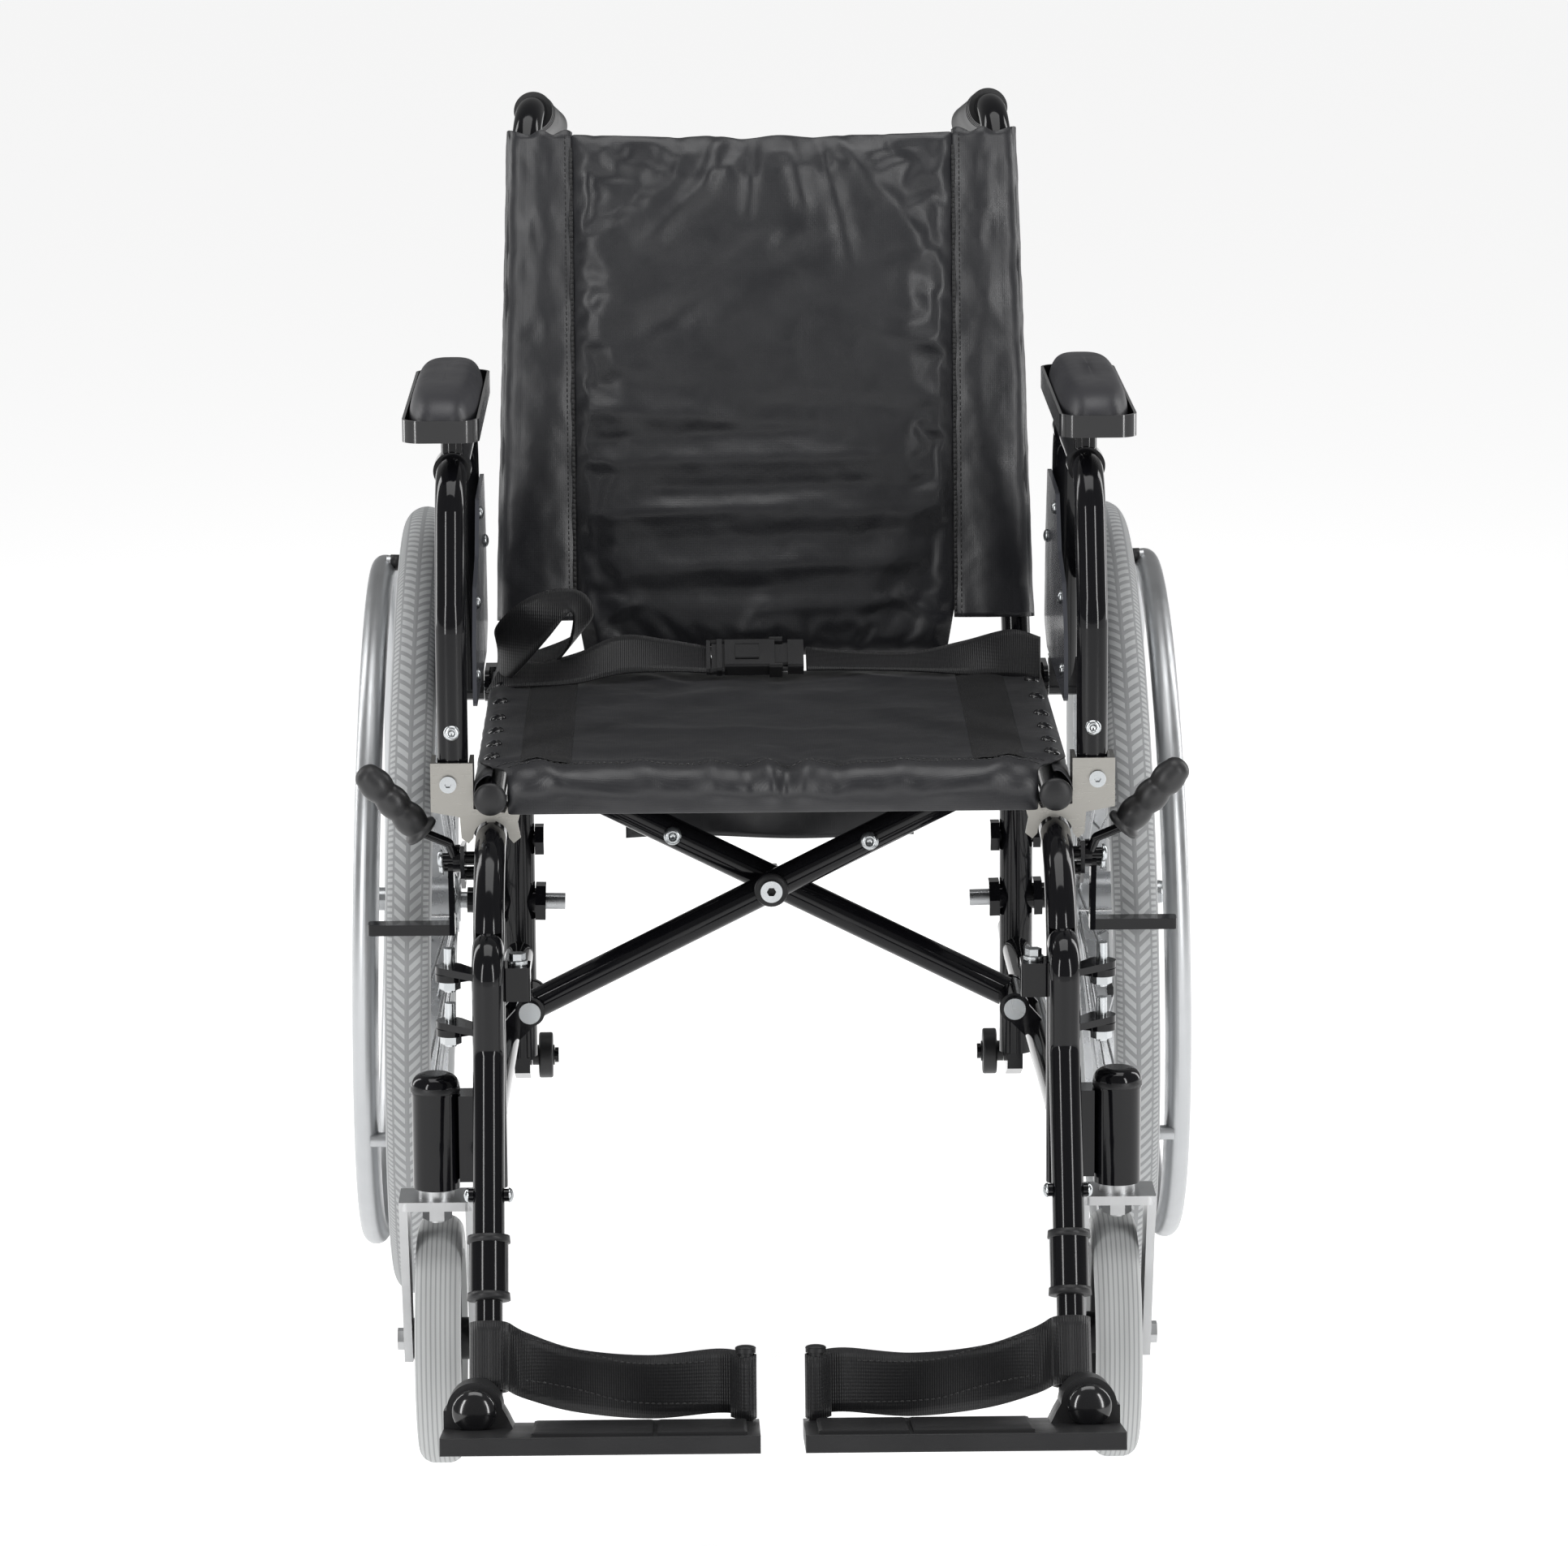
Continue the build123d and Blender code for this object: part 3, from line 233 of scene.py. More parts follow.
def tyre_shader(name, centre, axle, radius, rear):
    """Grey rubber with its tread worked out from the angle round and the offset along the axle, and painted
    shade darkening its grooves.
    """
    color = (0.40, 0.41, 0.415) if rear else (0.43, 0.44, 0.44)
    shader = Shader(name, color, 0.52, specular=0.4)
    away = shader.vector("SUBTRACT", shader.coords, centre)
    offset = shader.vector("DOT_PRODUCT", away, axle)
    parts = shader.split(away)
    round_length = shader.math("MULTIPLY", shader.math("ARCTAN2", parts["Z"], parts["Y"]), radius)
    reach = shader.math("SQRT", shader.math("ADD", shader.math("POWER", parts["Y"], 2.0),
                                            shader.math("POWER", parts["Z"], 2.0)))
    side = shader.math("ABSOLUTE", offset)
    if rear:
        lean = shader.math("MULTIPLY", side, 0.9)
        chevron = shader.wave(shader.math("ADD", round_length, lean), 0.0088)
        blocks = shader.math("MULTIPLY", shader.math("GREATER_THAN", chevron, 0.42),
                             shader.between(side, 0.0016, 0.0098))
        ribs = shader.math("MULTIPLY", shader.math("GREATER_THAN", shader.wave(round_length, 0.0044), 0.38),
                           shader.between(side, 0.0112, 0.0150))
        tread = shader.math("MAXIMUM", blocks, ribs)
        zone = shader.math("GREATER_THAN", reach, radius - 0.0110)
        height = shader.math("MAXIMUM", tread, shader.math("SUBTRACT", 1.0, zone))
        shader.add_height(height, 1.0, 0.0016)
        groove_shade = shader.math("MULTIPLY", shader.math("SUBTRACT", 1.0, height), 0.60)
    else:
        lines = shader.math("GREATER_THAN", shader.wave(offset, 0.0034), 0.22)
        zone = shader.math("LESS_THAN", side, 0.0145)
        outer = shader.math("GREATER_THAN", reach, radius - 0.0105)
        smooth_wall = shader.math("SUBTRACT", 1.0, shader.math("MULTIPLY", zone, outer))
        height = shader.math("MAXIMUM", lines, smooth_wall)
        shader.add_height(height, 0.9, 0.0009)
        groove_shade = shader.math("MULTIPLY", shader.math("SUBTRACT", 1.0, height), 0.5)
    # painted shade: the tread grooves are tinted toward a dark grey, standing in for the shade inside them
    shader.tint(groove_shade, (0.13, 0.135, 0.14))
    shader.tint(shader.math("MULTIPLY", shader.noise(9, 4.0), 0.22), (0.30, 0.30, 0.295))
    shader.add_height(shader.noise(600, 2.0), 0.12, 0.0004)
    return shader


def paint(name, shader):
    """Give a CAD node its finish."""
    node = NODES[name]
    if not node.material_slots:
        node.data.materials.append(shader.material)
    for entry in node.material_slots:
        entry.material = shader.material


def joint(name):
    return next(j for j in frame["joints"] if j["name"] == name)


FINISHES = {
    "side_frame": PAINT, "back_cane": PAINT, "push_grip": RUBBER, "seat_bracket": NICKEL,
    "axle_receiver": PAINT, "frame_fasteners": ZINC, "arm_tube": PAINT, "arm_tray": GLOSS,
    "arm_pad": PAD, "side_panel": PANEL,
    "rim": WHEEL, "handrim": HANDRIM, "caster_housing": PAINT, "caster_fork": FORK, "caster_hub": MATTE,
    "hanger": PAINT, "footrest_tube": PAINT, "footplate": MATTE, "brake_base": PAINT, "brake_lever": PAINT,
    "brake_shoe": PAINT, "transit_roller": RUBBER,
}
for side_name, side in SIDES:
    for node_name, finish in FINISHES.items():
        paint(f"{node_name}_{side_name}", finish)
    for node_name, joint_name, radius, rear in (("tyre", f"wheel_{side_name}_spin", 0.305, True),
                                                ("caster_tyre", f"caster_{side_name}_spin", 0.088, False)):
        spin = joint(joint_name)
        finish = tyre_shader(f"{node_name}_{side_name}_rubber", spin["pos_m"], spin["axis"], radius, rear)
        paint(f"{node_name}_{side_name}", finish)
for node_name, finish in (("brace_front", PAINT), ("brace_rear", PAINT), ("brace_bolt", ZINC)):
    paint(node_name, finish)


# ---------------------------------------------------------------- mesh helpers
def make(name, points, faces, shader, body, smooth=True):
    """One mesh object in row coordinates that rides on a body."""
    mesh = bpy.data.meshes.new(name)
    mesh.from_pydata([tuple(p) for p in points], [], faces)
    mesh.validate()
    mesh.update()
    obj = bpy.data.objects.new(name, mesh)
    scene.collection.objects.link(obj)
    mesh.materials.append(shader.material)
    if smooth:
        for polygon in mesh.polygons:
            polygon.use_smooth = True
    view_layer.update()
    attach(obj, body)
    return obj


def merged(parts):
    """Join (points, faces) pairs into one."""
    points, faces = [], []
    for part_points, part_faces in parts:
        start = len(points)
        points += part_points
        faces += [tuple(start + i for i in face) for face in part_faces]
    return points, faces


def frame_of(axis):
    """Two directions at right angles to an axis."""
    axis = Vector(axis).normalized()
    side = axis.cross(Vector((0, 0, 1)) if abs(axis.z) < 0.9 else Vector((1, 0, 0))).normalized()
    return side, axis.cross(side)


def lathe(origin, axis, profile, count=28):
    """Solid of revolution: profile is (distance along the axis, radius) from end to end."""
    origin, axis = Vector(origin), Vector(axis).normalized()
    side, up = frame_of(axis)
    points, faces = [], []
    for along, radius in profile:
        for k in range(count):
            turn = 2 * pi * k / count
            points.append(origin + axis * along + (side * cos(turn) + up * sin(turn)) * radius)
    for row in range(len(profile) - 1):
        for k in range(count):
            a, b = row * count + k, row * count + (k + 1) % count
            faces.append((a, a + count, b + count, b))
    faces.append(tuple(range(count)))
    last = (len(profile) - 1) * count
    faces.append(tuple(range(last + count - 1, last - 1, -1)))
    return points, faces


def dome(origin, axis, radius, height, rim=0.0):
    """Low dome with an optional straight rim under it."""
    profile = [(0.0, radius)] + ([(rim, radius)] if rim else [])
    for k in range(1, 8):
        turn = pi / 2 * k / 8
        profile.append((rim + height * sin(turn), radius * cos(turn)))
    profile.append((rim + height, radius * 0.02))
    return lathe(origin, axis, profile)


def socket_head(origin, axis, radius, height):
    """Button screw with a round recess in the middle."""
    profile = [(0.0, radius), (height * 0.35, radius), (height * 0.8, radius * 0.86), (height, radius * 0.62),
               (height, radius * 0.45), (height * 0.3, radius * 0.42), (height * 0.3, radius * 0.02)]
    return lathe(origin, axis, profile)


def spline(points, count):
    """Smooth curve through points, as count + 1 samples per gap."""
    points = [Vector(p) for p in points]
    line = []
    for i in range(len(points) - 1):
        p0 = points[max(i - 1, 0)]
        p1, p2 = points[i], points[i + 1]
        p3 = points[min(i + 2, len(points) - 1)]
        for k in range(count):
            t = k / count
            line.append(0.5 * ((2 * p1) + (p2 - p0) * t + (2 * p0 - 5 * p1 + 4 * p2 - p3) * t * t
                               + (3 * p1 - p0 - 3 * p2 + p3) * t ** 3))
    line.append(points[-1])
    return line


def ribbon(stations, thickness, per_gap=14, across=6):
    """Flat band through (point, width direction, width) stations, with a thickness."""
    centres = spline([s[0] for s in stations], per_gap)
    widths = spline([Vector(s[1]).normalized() * s[2] for s in stations], per_gap)
    points, faces = [], []
    ring = 2 * (across + 1)
    for i, (centre, wide) in enumerate(zip(centres, widths)):
        ahead = centres[min(i + 1, len(centres) - 1)] - centres[max(i - 1, 0)]
        normal = ahead.cross(wide).normalized()
        for face_side in (1, -1):
            for k in range(across + 1):
                t = (k / across - 0.5) * face_side
                points.append(centre + wide * t + normal * (thickness / 2 * face_side))
    for i in range(len(centres) - 1):
        for k in range(ring):
            a, b = i * ring + k, i * ring + (k + 1) % ring
            faces.append((a, b, b + ring, a + ring))
    faces.append(tuple(range(ring - 1, -1, -1)))
    last = (len(centres) - 1) * ring
    faces.append(tuple(range(last, last + ring)))
    return points, faces


def surface(obj):
    """Ray-cast tree of an object's mesh in row coordinates."""
    corners = [v.co.copy() for v in obj.data.vertices]
    return BVHTree.FromPolygons(corners, [tuple(p.vertices) for p in obj.data.polygons])


def on_surface(tree, start, direction, lift=0.0):
    hit = tree.ray_cast(Vector(start), Vector(direction))
    if hit[0] is None:
        return None
    return hit[0] - Vector(direction).normalized() * lift


STITCH_PITCH = 0.0042
STITCH_SHARE = 0.66  # part of each pitch that shows thread
THREAD_RADIUS = 0.00042


def stitches(name, path, tree, direction, body):
    """A row of short thread dashes laid on a surface under a path."""
    direction = Vector(direction).normalized()
    parts, travelled, mark = [], 0.0, 0.0
    for a, b in zip(path, path[1:]):
        a, b = Vector(a), Vector(b)
        step = (b - a).length
        while mark <= travelled + step:
            t = (mark - travelled) / step
            here = a.lerp(b, t)
            along = (b - a).normalized()
            p = on_surface(tree, here - direction * 0.05, direction, 0.0002)
            ahead = here + along * STITCH_PITCH * STITCH_SHARE
            q = on_surface(tree, ahead - direction * 0.05, direction, 0.0002)
            if p and q and (q - p).length < STITCH_PITCH:
                run = q - p
                dash = [(0, 0.0001), (0.0003, THREAD_RADIUS), (run.length - 0.0003, THREAD_RADIUS),
                        (run.length, 0.0001)]
                parts.append(lathe(p, run, dash, 6))
            mark += STITCH_PITCH
        travelled += step
    points, faces = merged(parts)
    return make(name, points, faces, THREAD, body)


def slab(columns, rows, place):
    """Closed two-sided sheet: place(u, v, side) gives a point, u and v in 0..1, side +1 or -1."""
    points = []
    for side in (1, -1):
        for j in range(rows + 1):
            for i in range(columns + 1):
                points.append(place(i / columns, j / rows, side))
    wide = columns + 1
    back = wide * (rows + 1)
    faces = []
    for j in range(rows):
        for i in range(columns):
            a = j * wide + i
            faces.append((a, a + 1, a + wide + 1, a + wide))
            faces.append((back + a, back + a + wide, back + a + wide + 1, back + a + 1))
    edge = list(range(columns)) + [j * wide + columns for j in range(rows)]
    edge += [rows * wide + i for i in range(columns, 0, -1)] + [j * wide for j in range(rows, 0, -1)]
    for a, b in zip(edge, edge[1:] + edge[:1]):
        faces.append((b, a, back + a, back + b))
    return points, faces


SIM_FRAMES = 20


def puff(obj, pin_weight, pressure, growth, cap):
    """Cloth simulation that fills the piece and lets its spare cloth wrinkle between the seams.

    pin_weight gives how firmly a point is held, growth how much cloth is spare, and cap the furthest
    that a point may move.
    """
    rest = [v.co.copy() for v in obj.data.vertices]
    group = obj.vertex_groups.new(name="pin")
    for vertex in obj.data.vertices:
        weight = pin_weight(vertex.co)
        if weight > 0:
            group.add([vertex.index], weight, "REPLACE")
    modifier = obj.modifiers.new("cloth", "CLOTH")
    settings = modifier.settings
    settings.quality = 6
    settings.mass = 0.15
    settings.tension_stiffness = 25
    settings.compression_stiffness = 25
    settings.shear_stiffness = 10
    settings.bending_stiffness = 0.25
    settings.vertex_group_mass = "pin"
    settings.use_pressure = True
    settings.uniform_pressure_force = pressure
    settings.shrink_min = -growth
    settings.effector_weights.gravity = 0.0
    modifier.collision_settings.use_collision = False
    modifier.point_cache.frame_start = 1
    modifier.point_cache.frame_end = SIM_FRAMES
    for number in range(1, SIM_FRAMES + 1):
        scene.frame_set(number)
    posed = obj.evaluated_get(bpy.context.evaluated_depsgraph_get()).data
    moved = [v.co.copy() for v in posed.vertices]
    obj.modifiers.remove(modifier)
    obj.vertex_groups.clear()
    scene.frame_set(1)
    for vertex, before, after in zip(obj.data.vertices, rest, moved):
        step = after - before
        if step.length > cap:
            step *= cap / step.length
        vertex.co = before + step
    obj.data.update()


def smooth_out(obj):
    """Bake one subdivision into the mesh."""
    modifier = obj.modifiers.new("smooth", "SUBSURF")
    modifier.levels = 1
    modifier.render_levels = 1
    baked = bpy.data.meshes.new_from_object(obj.evaluated_get(bpy.context.evaluated_depsgraph_get()))
    obj.modifiers.remove(modifier)
    obj.data = baked


def crease(x, y, a, b, width, depth):
    """Height of one soft fold that runs from a to b and fades at its ends."""
    ax, ay = a
    bx, by = b
    run = hypot(bx - ax, by - ay)
    along = ((x - ax) * (bx - ax) + (y - ay) * (by - ay)) / run
    off = ((x - ax) * (by - ay) - (y - ay) * (bx - ax)) / run
    t = along / run
    fade = max(0.0, 1 - abs(2 * t - 1) ** 3) if 0 <= t <= 1 else 0.0
    return depth * fade * exp(-(off / width) ** 2)


# ---------------------------------------------------------------- back upholstery
# millimetres: x across, s up along the canes, n ahead of their middle line
CANE_FOOT = Vector((0, 0.230, 0.505))
PANEL_HALF = 146
PANEL_FOOT = -9
PANEL_TOP = 391
SLEEVE_TALL = 372
RISE = Vector((0, 58, 410)).normalized()
AHEAD = Vector((0, -410, 58)).normalized()


def back_point(x, s, n):
    """Point on the back, from millimetres across, up the canes and ahead of them."""
    return Vector((x * MM, 0, 0)) + CANE_FOOT + RISE * (s * MM) + AHEAD * (n * MM)


BACK_FOLDS = (
    ((-31, 392), (-46, 340), 6, 3.2), ((-6, 392), (-12, 318), 5, -3.0), ((18, 392), (34, 325), 6, 3.2),
    ((42, 390), (70, 280), 7, -2.8), ((-20, 375), (-95, 300), 8, 2.6), ((58, 390), (96, 330), 6, 2.0),
    ((20, 316), (-112, 222), 13, -4.5), ((40, 322), (-88, 246), 9, 2.4), ((70, 244), (146, 222), 9, 2.0),
    ((-144, 204), (-40, 196), 9, -2.4), ((-144, 180), (-18, 176), 7, 3.0), ((-10, 186), (144, 176), 9, -2.2),
    ((-144, 156), (70, 164), 7, -3.0), ((-144, 138), (120, 146), 6, 3.4), ((-144, 116), (144, 124), 7, -3.2),
    ((-144, 98), (60, 108), 6, 3.4), ((-30, 96), (144, 104), 6, 2.6), ((-144, 78), (144, 84), 8, -3.0),
    ((-120, 58), (144, 64), 6, 3.0), ((-144, 40), (40, 44), 6, -2.4), ((-60, 26), (144, 36), 6, 2.4),
    ((-140, 10), (-90, 40), 6, 2.4), ((140, 10), (95, 40), 6, 2.2), ((-20, 4), (0, 40), 6, 1.8),
)


def back_relief(x, s):
    """Folds and unevenness ahead of the panel, dying out toward the side seams."""
    folds = sum(crease(x, s, *fold) for fold in BACK_FOLDS)
    wander = noise.noise(Vector((x / 38, s / 30, 3.1))) * 1.6
    wander += noise.noise(Vector((x / 15, s / 11, 7.7))) * 0.7
    edge = min(1.0, (PANEL_HALF - abs(x)) / 14)
    return (folds + wander) * (0.25 + 0.75 * max(edge, 0.0))


def back_panel_place(u, v, side):
    """Padded panel between the two sleeves."""
    x = PANEL_HALF * (2 * u - 1)
    top = PANEL_TOP - 3.0 * (1 - (x / PANEL_HALF) ** 2) + 1.4 * sin(x / 9.0) * exp(-(x / 60) ** 2)
    s = PANEL_FOOT + (top - PANEL_FOOT) * v
    taper = 1.0 - 0.05 * max(0.0, (30 - s) / 40)
    rim = min(1.0, min(PANEL_HALF - abs(x), s - PANEL_FOOT, top - s) / 12)
    swell = sqrt(max(rim, 0.0))
    if side > 0:
        n = 12.5 + 6.5 * swell + back_relief(x, s)
    else:
        n = 12.0 - 2.0 * swell
    if s < 22:
        n += (22 - s) * 0.10
    return back_point(x * taper, s, n)


points, faces = slab(66, 88, back_panel_place)
back_panel = make("back_panel", points, faces, BACK_CLOTH, "frame_right")


def back_pins(co):
    """Held at its back face, side seams and foot, and more lightly along the top."""
    local = co - CANE_FOOT
    s, n = local.dot(RISE) / MM, local.dot(AHEAD) / MM
    if n < 12.6 or abs(co.x) / MM > 140 or s < -3:
        return 1.0
    return 0.6 if s > 383 else 0.02


puff(back_panel, back_pins, 2.2, 0.035, 0.007)
smooth_out(back_panel)
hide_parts("back_sling")
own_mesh(back_panel)

for side_name, side in SIDES:
    def sleeve_place(u, v, face, side=side):
        """Cloth tube from the seam round the cane and back behind it."""
        s = 19 + SLEEVE_TALL * v + (2.0 * sin(9 * pi * u) + 1.5 if v == 1.0 else 0.0)
        cane = 193 - 13 * max(s, 0) / 414
        inner = 145.0
        rumple = noise.noise(Vector((u * 5, s / 26, 11.0 * side))) * 1.8
        rumple += noise.noise(Vector((u * 11, s / 9, 5.0))) * 0.6
        pull = 1.6 * exp(-((s - 30) / 26) ** 2) + 1.2 * exp(-((s - 372) / 20) ** 2)
        if u < 0.42:
            t = u / 0.42
            x = inner + (cane - inner) * t
            n = 12.5 + 3.5 * sin(pi * t) + 1.6 * t
        elif u < 0.66:
            turn = pi / 2 - pi * (u - 0.42) / 0.24
            x = cane + 14.3 * cos(turn)
            n = 14.1 * sin(turn)
        else:
            t = (u - 0.66) / 0.34
            x = cane + (inner - cane) * t
            n = -14.1 + 22.5 * t ** 0.8
        normal = 1.0 if u < 0.5 else -1.0
        fade = min(1.0, u / 0.06, (1 - u) / 0.06)
        n += normal * (rumple * 0.9 + pull) * fade
        if 0.42 <= u <= 0.66:
            x += rumple * 0.5 + 0.5
        return back_point(side * x, s, n + 0.6 * face * normal)

    points, faces = slab(46, 92, sleeve_place)
    sleeve = make(f"back_sleeve_{side_name}", points, faces, BACK_CLOTH, f"frame_{side_name}")
    tree = surface(sleeve)
    path = [back_point(side * (PANEL_HALF + 4.5), s, 40) for s in range(22, 389, 6)]
    stitches(f"sleeve_stitch_{side_name}", path, tree, -AHEAD, f"frame_{side_name}")
    piping = spline([back_point(side * 146.4, s, 13.6 + 0.6 * sin(s / 7)) for s in range(20, 392, 12)], 3)
    parts = []
    for a, b in zip(piping, piping[1:]):
        parts.append(lathe(a, b - a, [(0, 0.0013), ((b - a).length * 1.15, 0.0013)], 8))
    points, faces = merged(parts)
    make(f"seam_welt_{side_name}", points, faces, THREAD, f"frame_{side_name}")


# ---------------------------------------------------------------- seat
# millimetres: t runs forward from the seat's back edge and over its rounded front
SEAT_BACK = 203
SEAT_TOP = 489.5
SEAT_FLAT = 375.0
SEAT_BEND = 14.0
SEAT_LENGTH = SEAT_FLAT + SEAT_BEND * pi / 2 + 17


def seat_path(t):
    """Distance along the seat from its back edge, in millimetres, to (y, z, forward tilt)."""
    if t < SEAT_FLAT:
        return SEAT_BACK - t, SEAT_TOP, 0.0
    turn = (t - SEAT_FLAT) / SEAT_BEND
    front = SEAT_BACK - SEAT_FLAT
    if turn < pi / 2:
        return front - SEAT_BEND * sin(turn), SEAT_TOP - SEAT_BEND * (1 - cos(turn)), turn
    return front - SEAT_BEND, SEAT_TOP - SEAT_BEND - SEAT_BEND * (turn - pi / 2), pi / 2


SEAT_FOLDS = (
    ((-8, 352), (2, 408), 5, 4.2), ((12, 350), (8, 410), 4, -4.0), ((30, 352), (20, 408), 5, 3.8),
    ((-26, 352), (-14, 408), 5, -3.4), ((-46, 350), (-40, 404), 6, 2.8), ((52, 350), (42, 404), 6, -2.8),
    ((-100, 352), (-84, 400), 8, 2.0), ((100, 352), (86, 402), 8, 2.2), ((-8, 300), (2, 350), 6, 1.8),
    ((22, 310), (14, 352), 5, -1.6), ((-120, 240), (110, 262), 14, 1.8), ((-130, 120), (120, 100), 18, 1.6),
    ((-100, 30), (-60, 70), 9, 2.0), ((60, 24), (100, 62), 9, 2.0), ((0, 10), (8, 60), 8, -1.8),
    ((-170, 386), (-90, 404), 6, 2.6), ((170, 386), (92, 404), 6, 2.6), ((-60, 396), (60, 402), 5, 2.4),
    ((-184, 350), (-146, 400), 6, 3.2), ((184, 350), (148, 400), 6, 3.2),
)


def seat_place(u, v, side):
    """Seat cushion that narrows between the rail ends and turns down at the front."""
    t = SEAT_LENGTH * v
    y, z, tilt = seat_path(t)
    pull = max(0.0, min(1.0, (t - 352) / 34))
    half = 209.5 - 21.5 * pull * pull * (3 - 2 * pull)
    x = half * (2 * u - 1)
    rim = min(1.0, min(half - abs(x), t, SEAT_LENGTH - t) / 11)
    swell = sqrt(max(rim, 0.0))
    relief = sum(crease(x, t, *fold) for fold in SEAT_FOLDS)
    relief += noise.noise(Vector((x / 40, t / 40, 21))) * 1.5
    relief += noise.noise(Vector((x / 14, t / 14, 4))) * 0.5
    height = (4.6 * swell + relief * min(1.0, rim)) if side > 0 else -4.2 * swell
    sag = 4.0 * (1 - (x / half) ** 2) * (1 - pull)
    if side > 0:
        height -= 2.6 * (exp(-((t - 369) / 2.2) ** 2) + exp(-((t - 377) / 2.2) ** 2))
        height += 3.0 * exp(-((t - 396) / 9) ** 2)
    return Vector((x, y - height * sin(tilt), z + height * cos(tilt) - sag)) * MM


points, faces = slab(92, 94, seat_place)
seat_pad = make("seat_pad", points, faces, SEAT_CLOTH, "seat")


def seat_pins(co):
    """Held at its sides, back edge and underside, and more lightly along the double seam."""
    if abs(co.x) > 0.200 or co.y > 0.198 or co.z < 0.4865 and co.y > -0.168:
        return 1.0
    if -0.1805 < co.y < -0.1660:
        return 0.5
    return 0.02


puff(seat_pad, seat_pins, 1.6, 0.03, 0.005)
smooth_out(seat_pad)
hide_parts("seat_sling")
seat_tree = surface(seat_pad)
seat_pieces = [seat_pad]

for row, y in enumerate((-0.1665, -0.1745)):
    path = [Vector((x * MM, y, 0.53)) for x in range(-196, 197, 6)]
    seat_pieces.append(stitches(f"seat_stitch_{row}", path, seat_tree, (0, 0, -1), "seat"))

STRIP_ROWS, STRIP_COLUMNS = 60, 6
for side_name, side in SIDES:
    strip = []
    for j in range(STRIP_ROWS + 1):
        y = 0.165 - 0.335 * j / STRIP_ROWS
        for i in range(STRIP_COLUMNS + 1):
            x = side * (0.143 + 0.036 * i / STRIP_COLUMNS)
            lift = 0.0011 if 0 < i < STRIP_COLUMNS else 0.0002
            strip.append(on_surface(seat_tree, (x, y, 0.56), (0, 0, -1), lift))
    wide = STRIP_COLUMNS + 1
    faces = []
    for j in range(STRIP_ROWS):
        for i in range(STRIP_COLUMNS):
            a = j * wide + i
            faces.append((a, a + 1, a + wide + 1, a + wide))
    if side < 0:
        faces = [tuple(reversed(f)) for f in faces]
    seat_pieces.append(make(f"hook_strip_{side_name}", strip, faces, VELCRO, "seat"))
    screws = []
    for y in (-0.150, -0.105, -0.055, -0.005, 0.06, 0.13):
        spot = on_surface(seat_tree, (side * 0.1995, y, 0.56), (0, 0, -1), 0.0)
        screws.append(dome(spot - Vector((0, 0, 0.001)), (side * 0.25, -0.1, 1), 0.0058, 0.0026, 0.001))
    points, faces = merged(screws)
    seat_pieces.append(make(f"seat_screws_{side_name}", points, faces, GLOSS, "seat"))

    def wrap_place(u, v, face, side=side):
        """Edge of the seat cloth turned down round the rail."""
        turn = radians(96 - 112 * u)
        y = 203 - 389 * v
        ripple = noise.noise(Vector((u * 3, y / 13, 31 * side))) * 0.9
        radius = 13.0 + 0.5 * face + max(ripple, -0.4)
        return Vector((side * (200 + (radius - 1.2) * cos(turn)), y, 472 + radius * sin(turn) * 1.15)) * MM

    points, faces = slab(14, 90, wrap_place)
    wrap = make(f"seat_edge_{side_name}", points, faces, SEAT_CLOTH, "seat")
    seat_pieces.append(wrap)


# cloth flap under the seat
def flap_place(u, v, side):
    wave, flare = 2.5 * sin(9 * u), 1.2 * sin(7 * u) * v
    return Vector((-107 + 214 * u, 30 + wave + 0.5 * side, 482 - 87 * v + flare)) * MM


points, faces = slab(40, 20, flap_place)
flap = make("under_flap", points, faces, SEAT_CLOTH, "seat")
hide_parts("under_seat_flap")
seat_pieces.append(flap)


# ---------------------------------------------------------------- lap belt
BELT_THICKNESS = 0.0015


def belt_band(name, stations):
    """Webbing that lies on the seat, through (place, width direction, width) stations."""
    points, faces = ribbon([(Vector(p), Vector(wide), width) for p, wide, width in stations], BELT_THICKNESS)
    obj = make(name, points, faces, WEB, "seat")
    return obj


UP = Vector((0, 0, 1))
belt_right = belt_band("belt_right", [
    ((-0.206, 0.150, 0.497), (0.3, 0.3, 1), 0.037),
    ((-0.196, 0.130, 0.520), (-0.45, 0.3, 0.75), 0.037),
    ((-0.176, 0.122, 0.543), (-0.55, 0.5, 0.6), 0.037),
    ((-0.156, 0.132, 0.556), (-0.35, 0.85, 0.3), 0.037),
    ((-0.143, 0.148, 0.549), (0.15, 0.9, 0.45), 0.037),
    ((-0.142, 0.156, 0.528), (0.55, 0.5, 0.65), 0.037),
    ((-0.158, 0.158, 0.512), (0.55, 0.6, 0.55), 0.037),
    ((-0.186, 0.154, 0.503), (0.3, 0.9, 0.35), 0.036),
])
belt_cross = belt_band("belt_cross", [
    ((-0.204, 0.140, 0.500), (0.5, 0.6, 0.75), 0.037),
    ((-0.180, 0.130, 0.5005), (0.35, 0.9, 0.35), 0.037),
    ((-0.145, 0.140, 0.503), (0.1, 0.9, 0.5), 0.037),
    ((-0.110, 0.158, 0.510), (-0.05, 0.8, 0.7), 0.037),
    ((-0.075, 0.168, 0.507), (-0.1, 0.85, 0.5), 0.037),
    ((-0.042, 0.170, 0.503), (-0.1, 0.9, 0.35), 0.037),
])
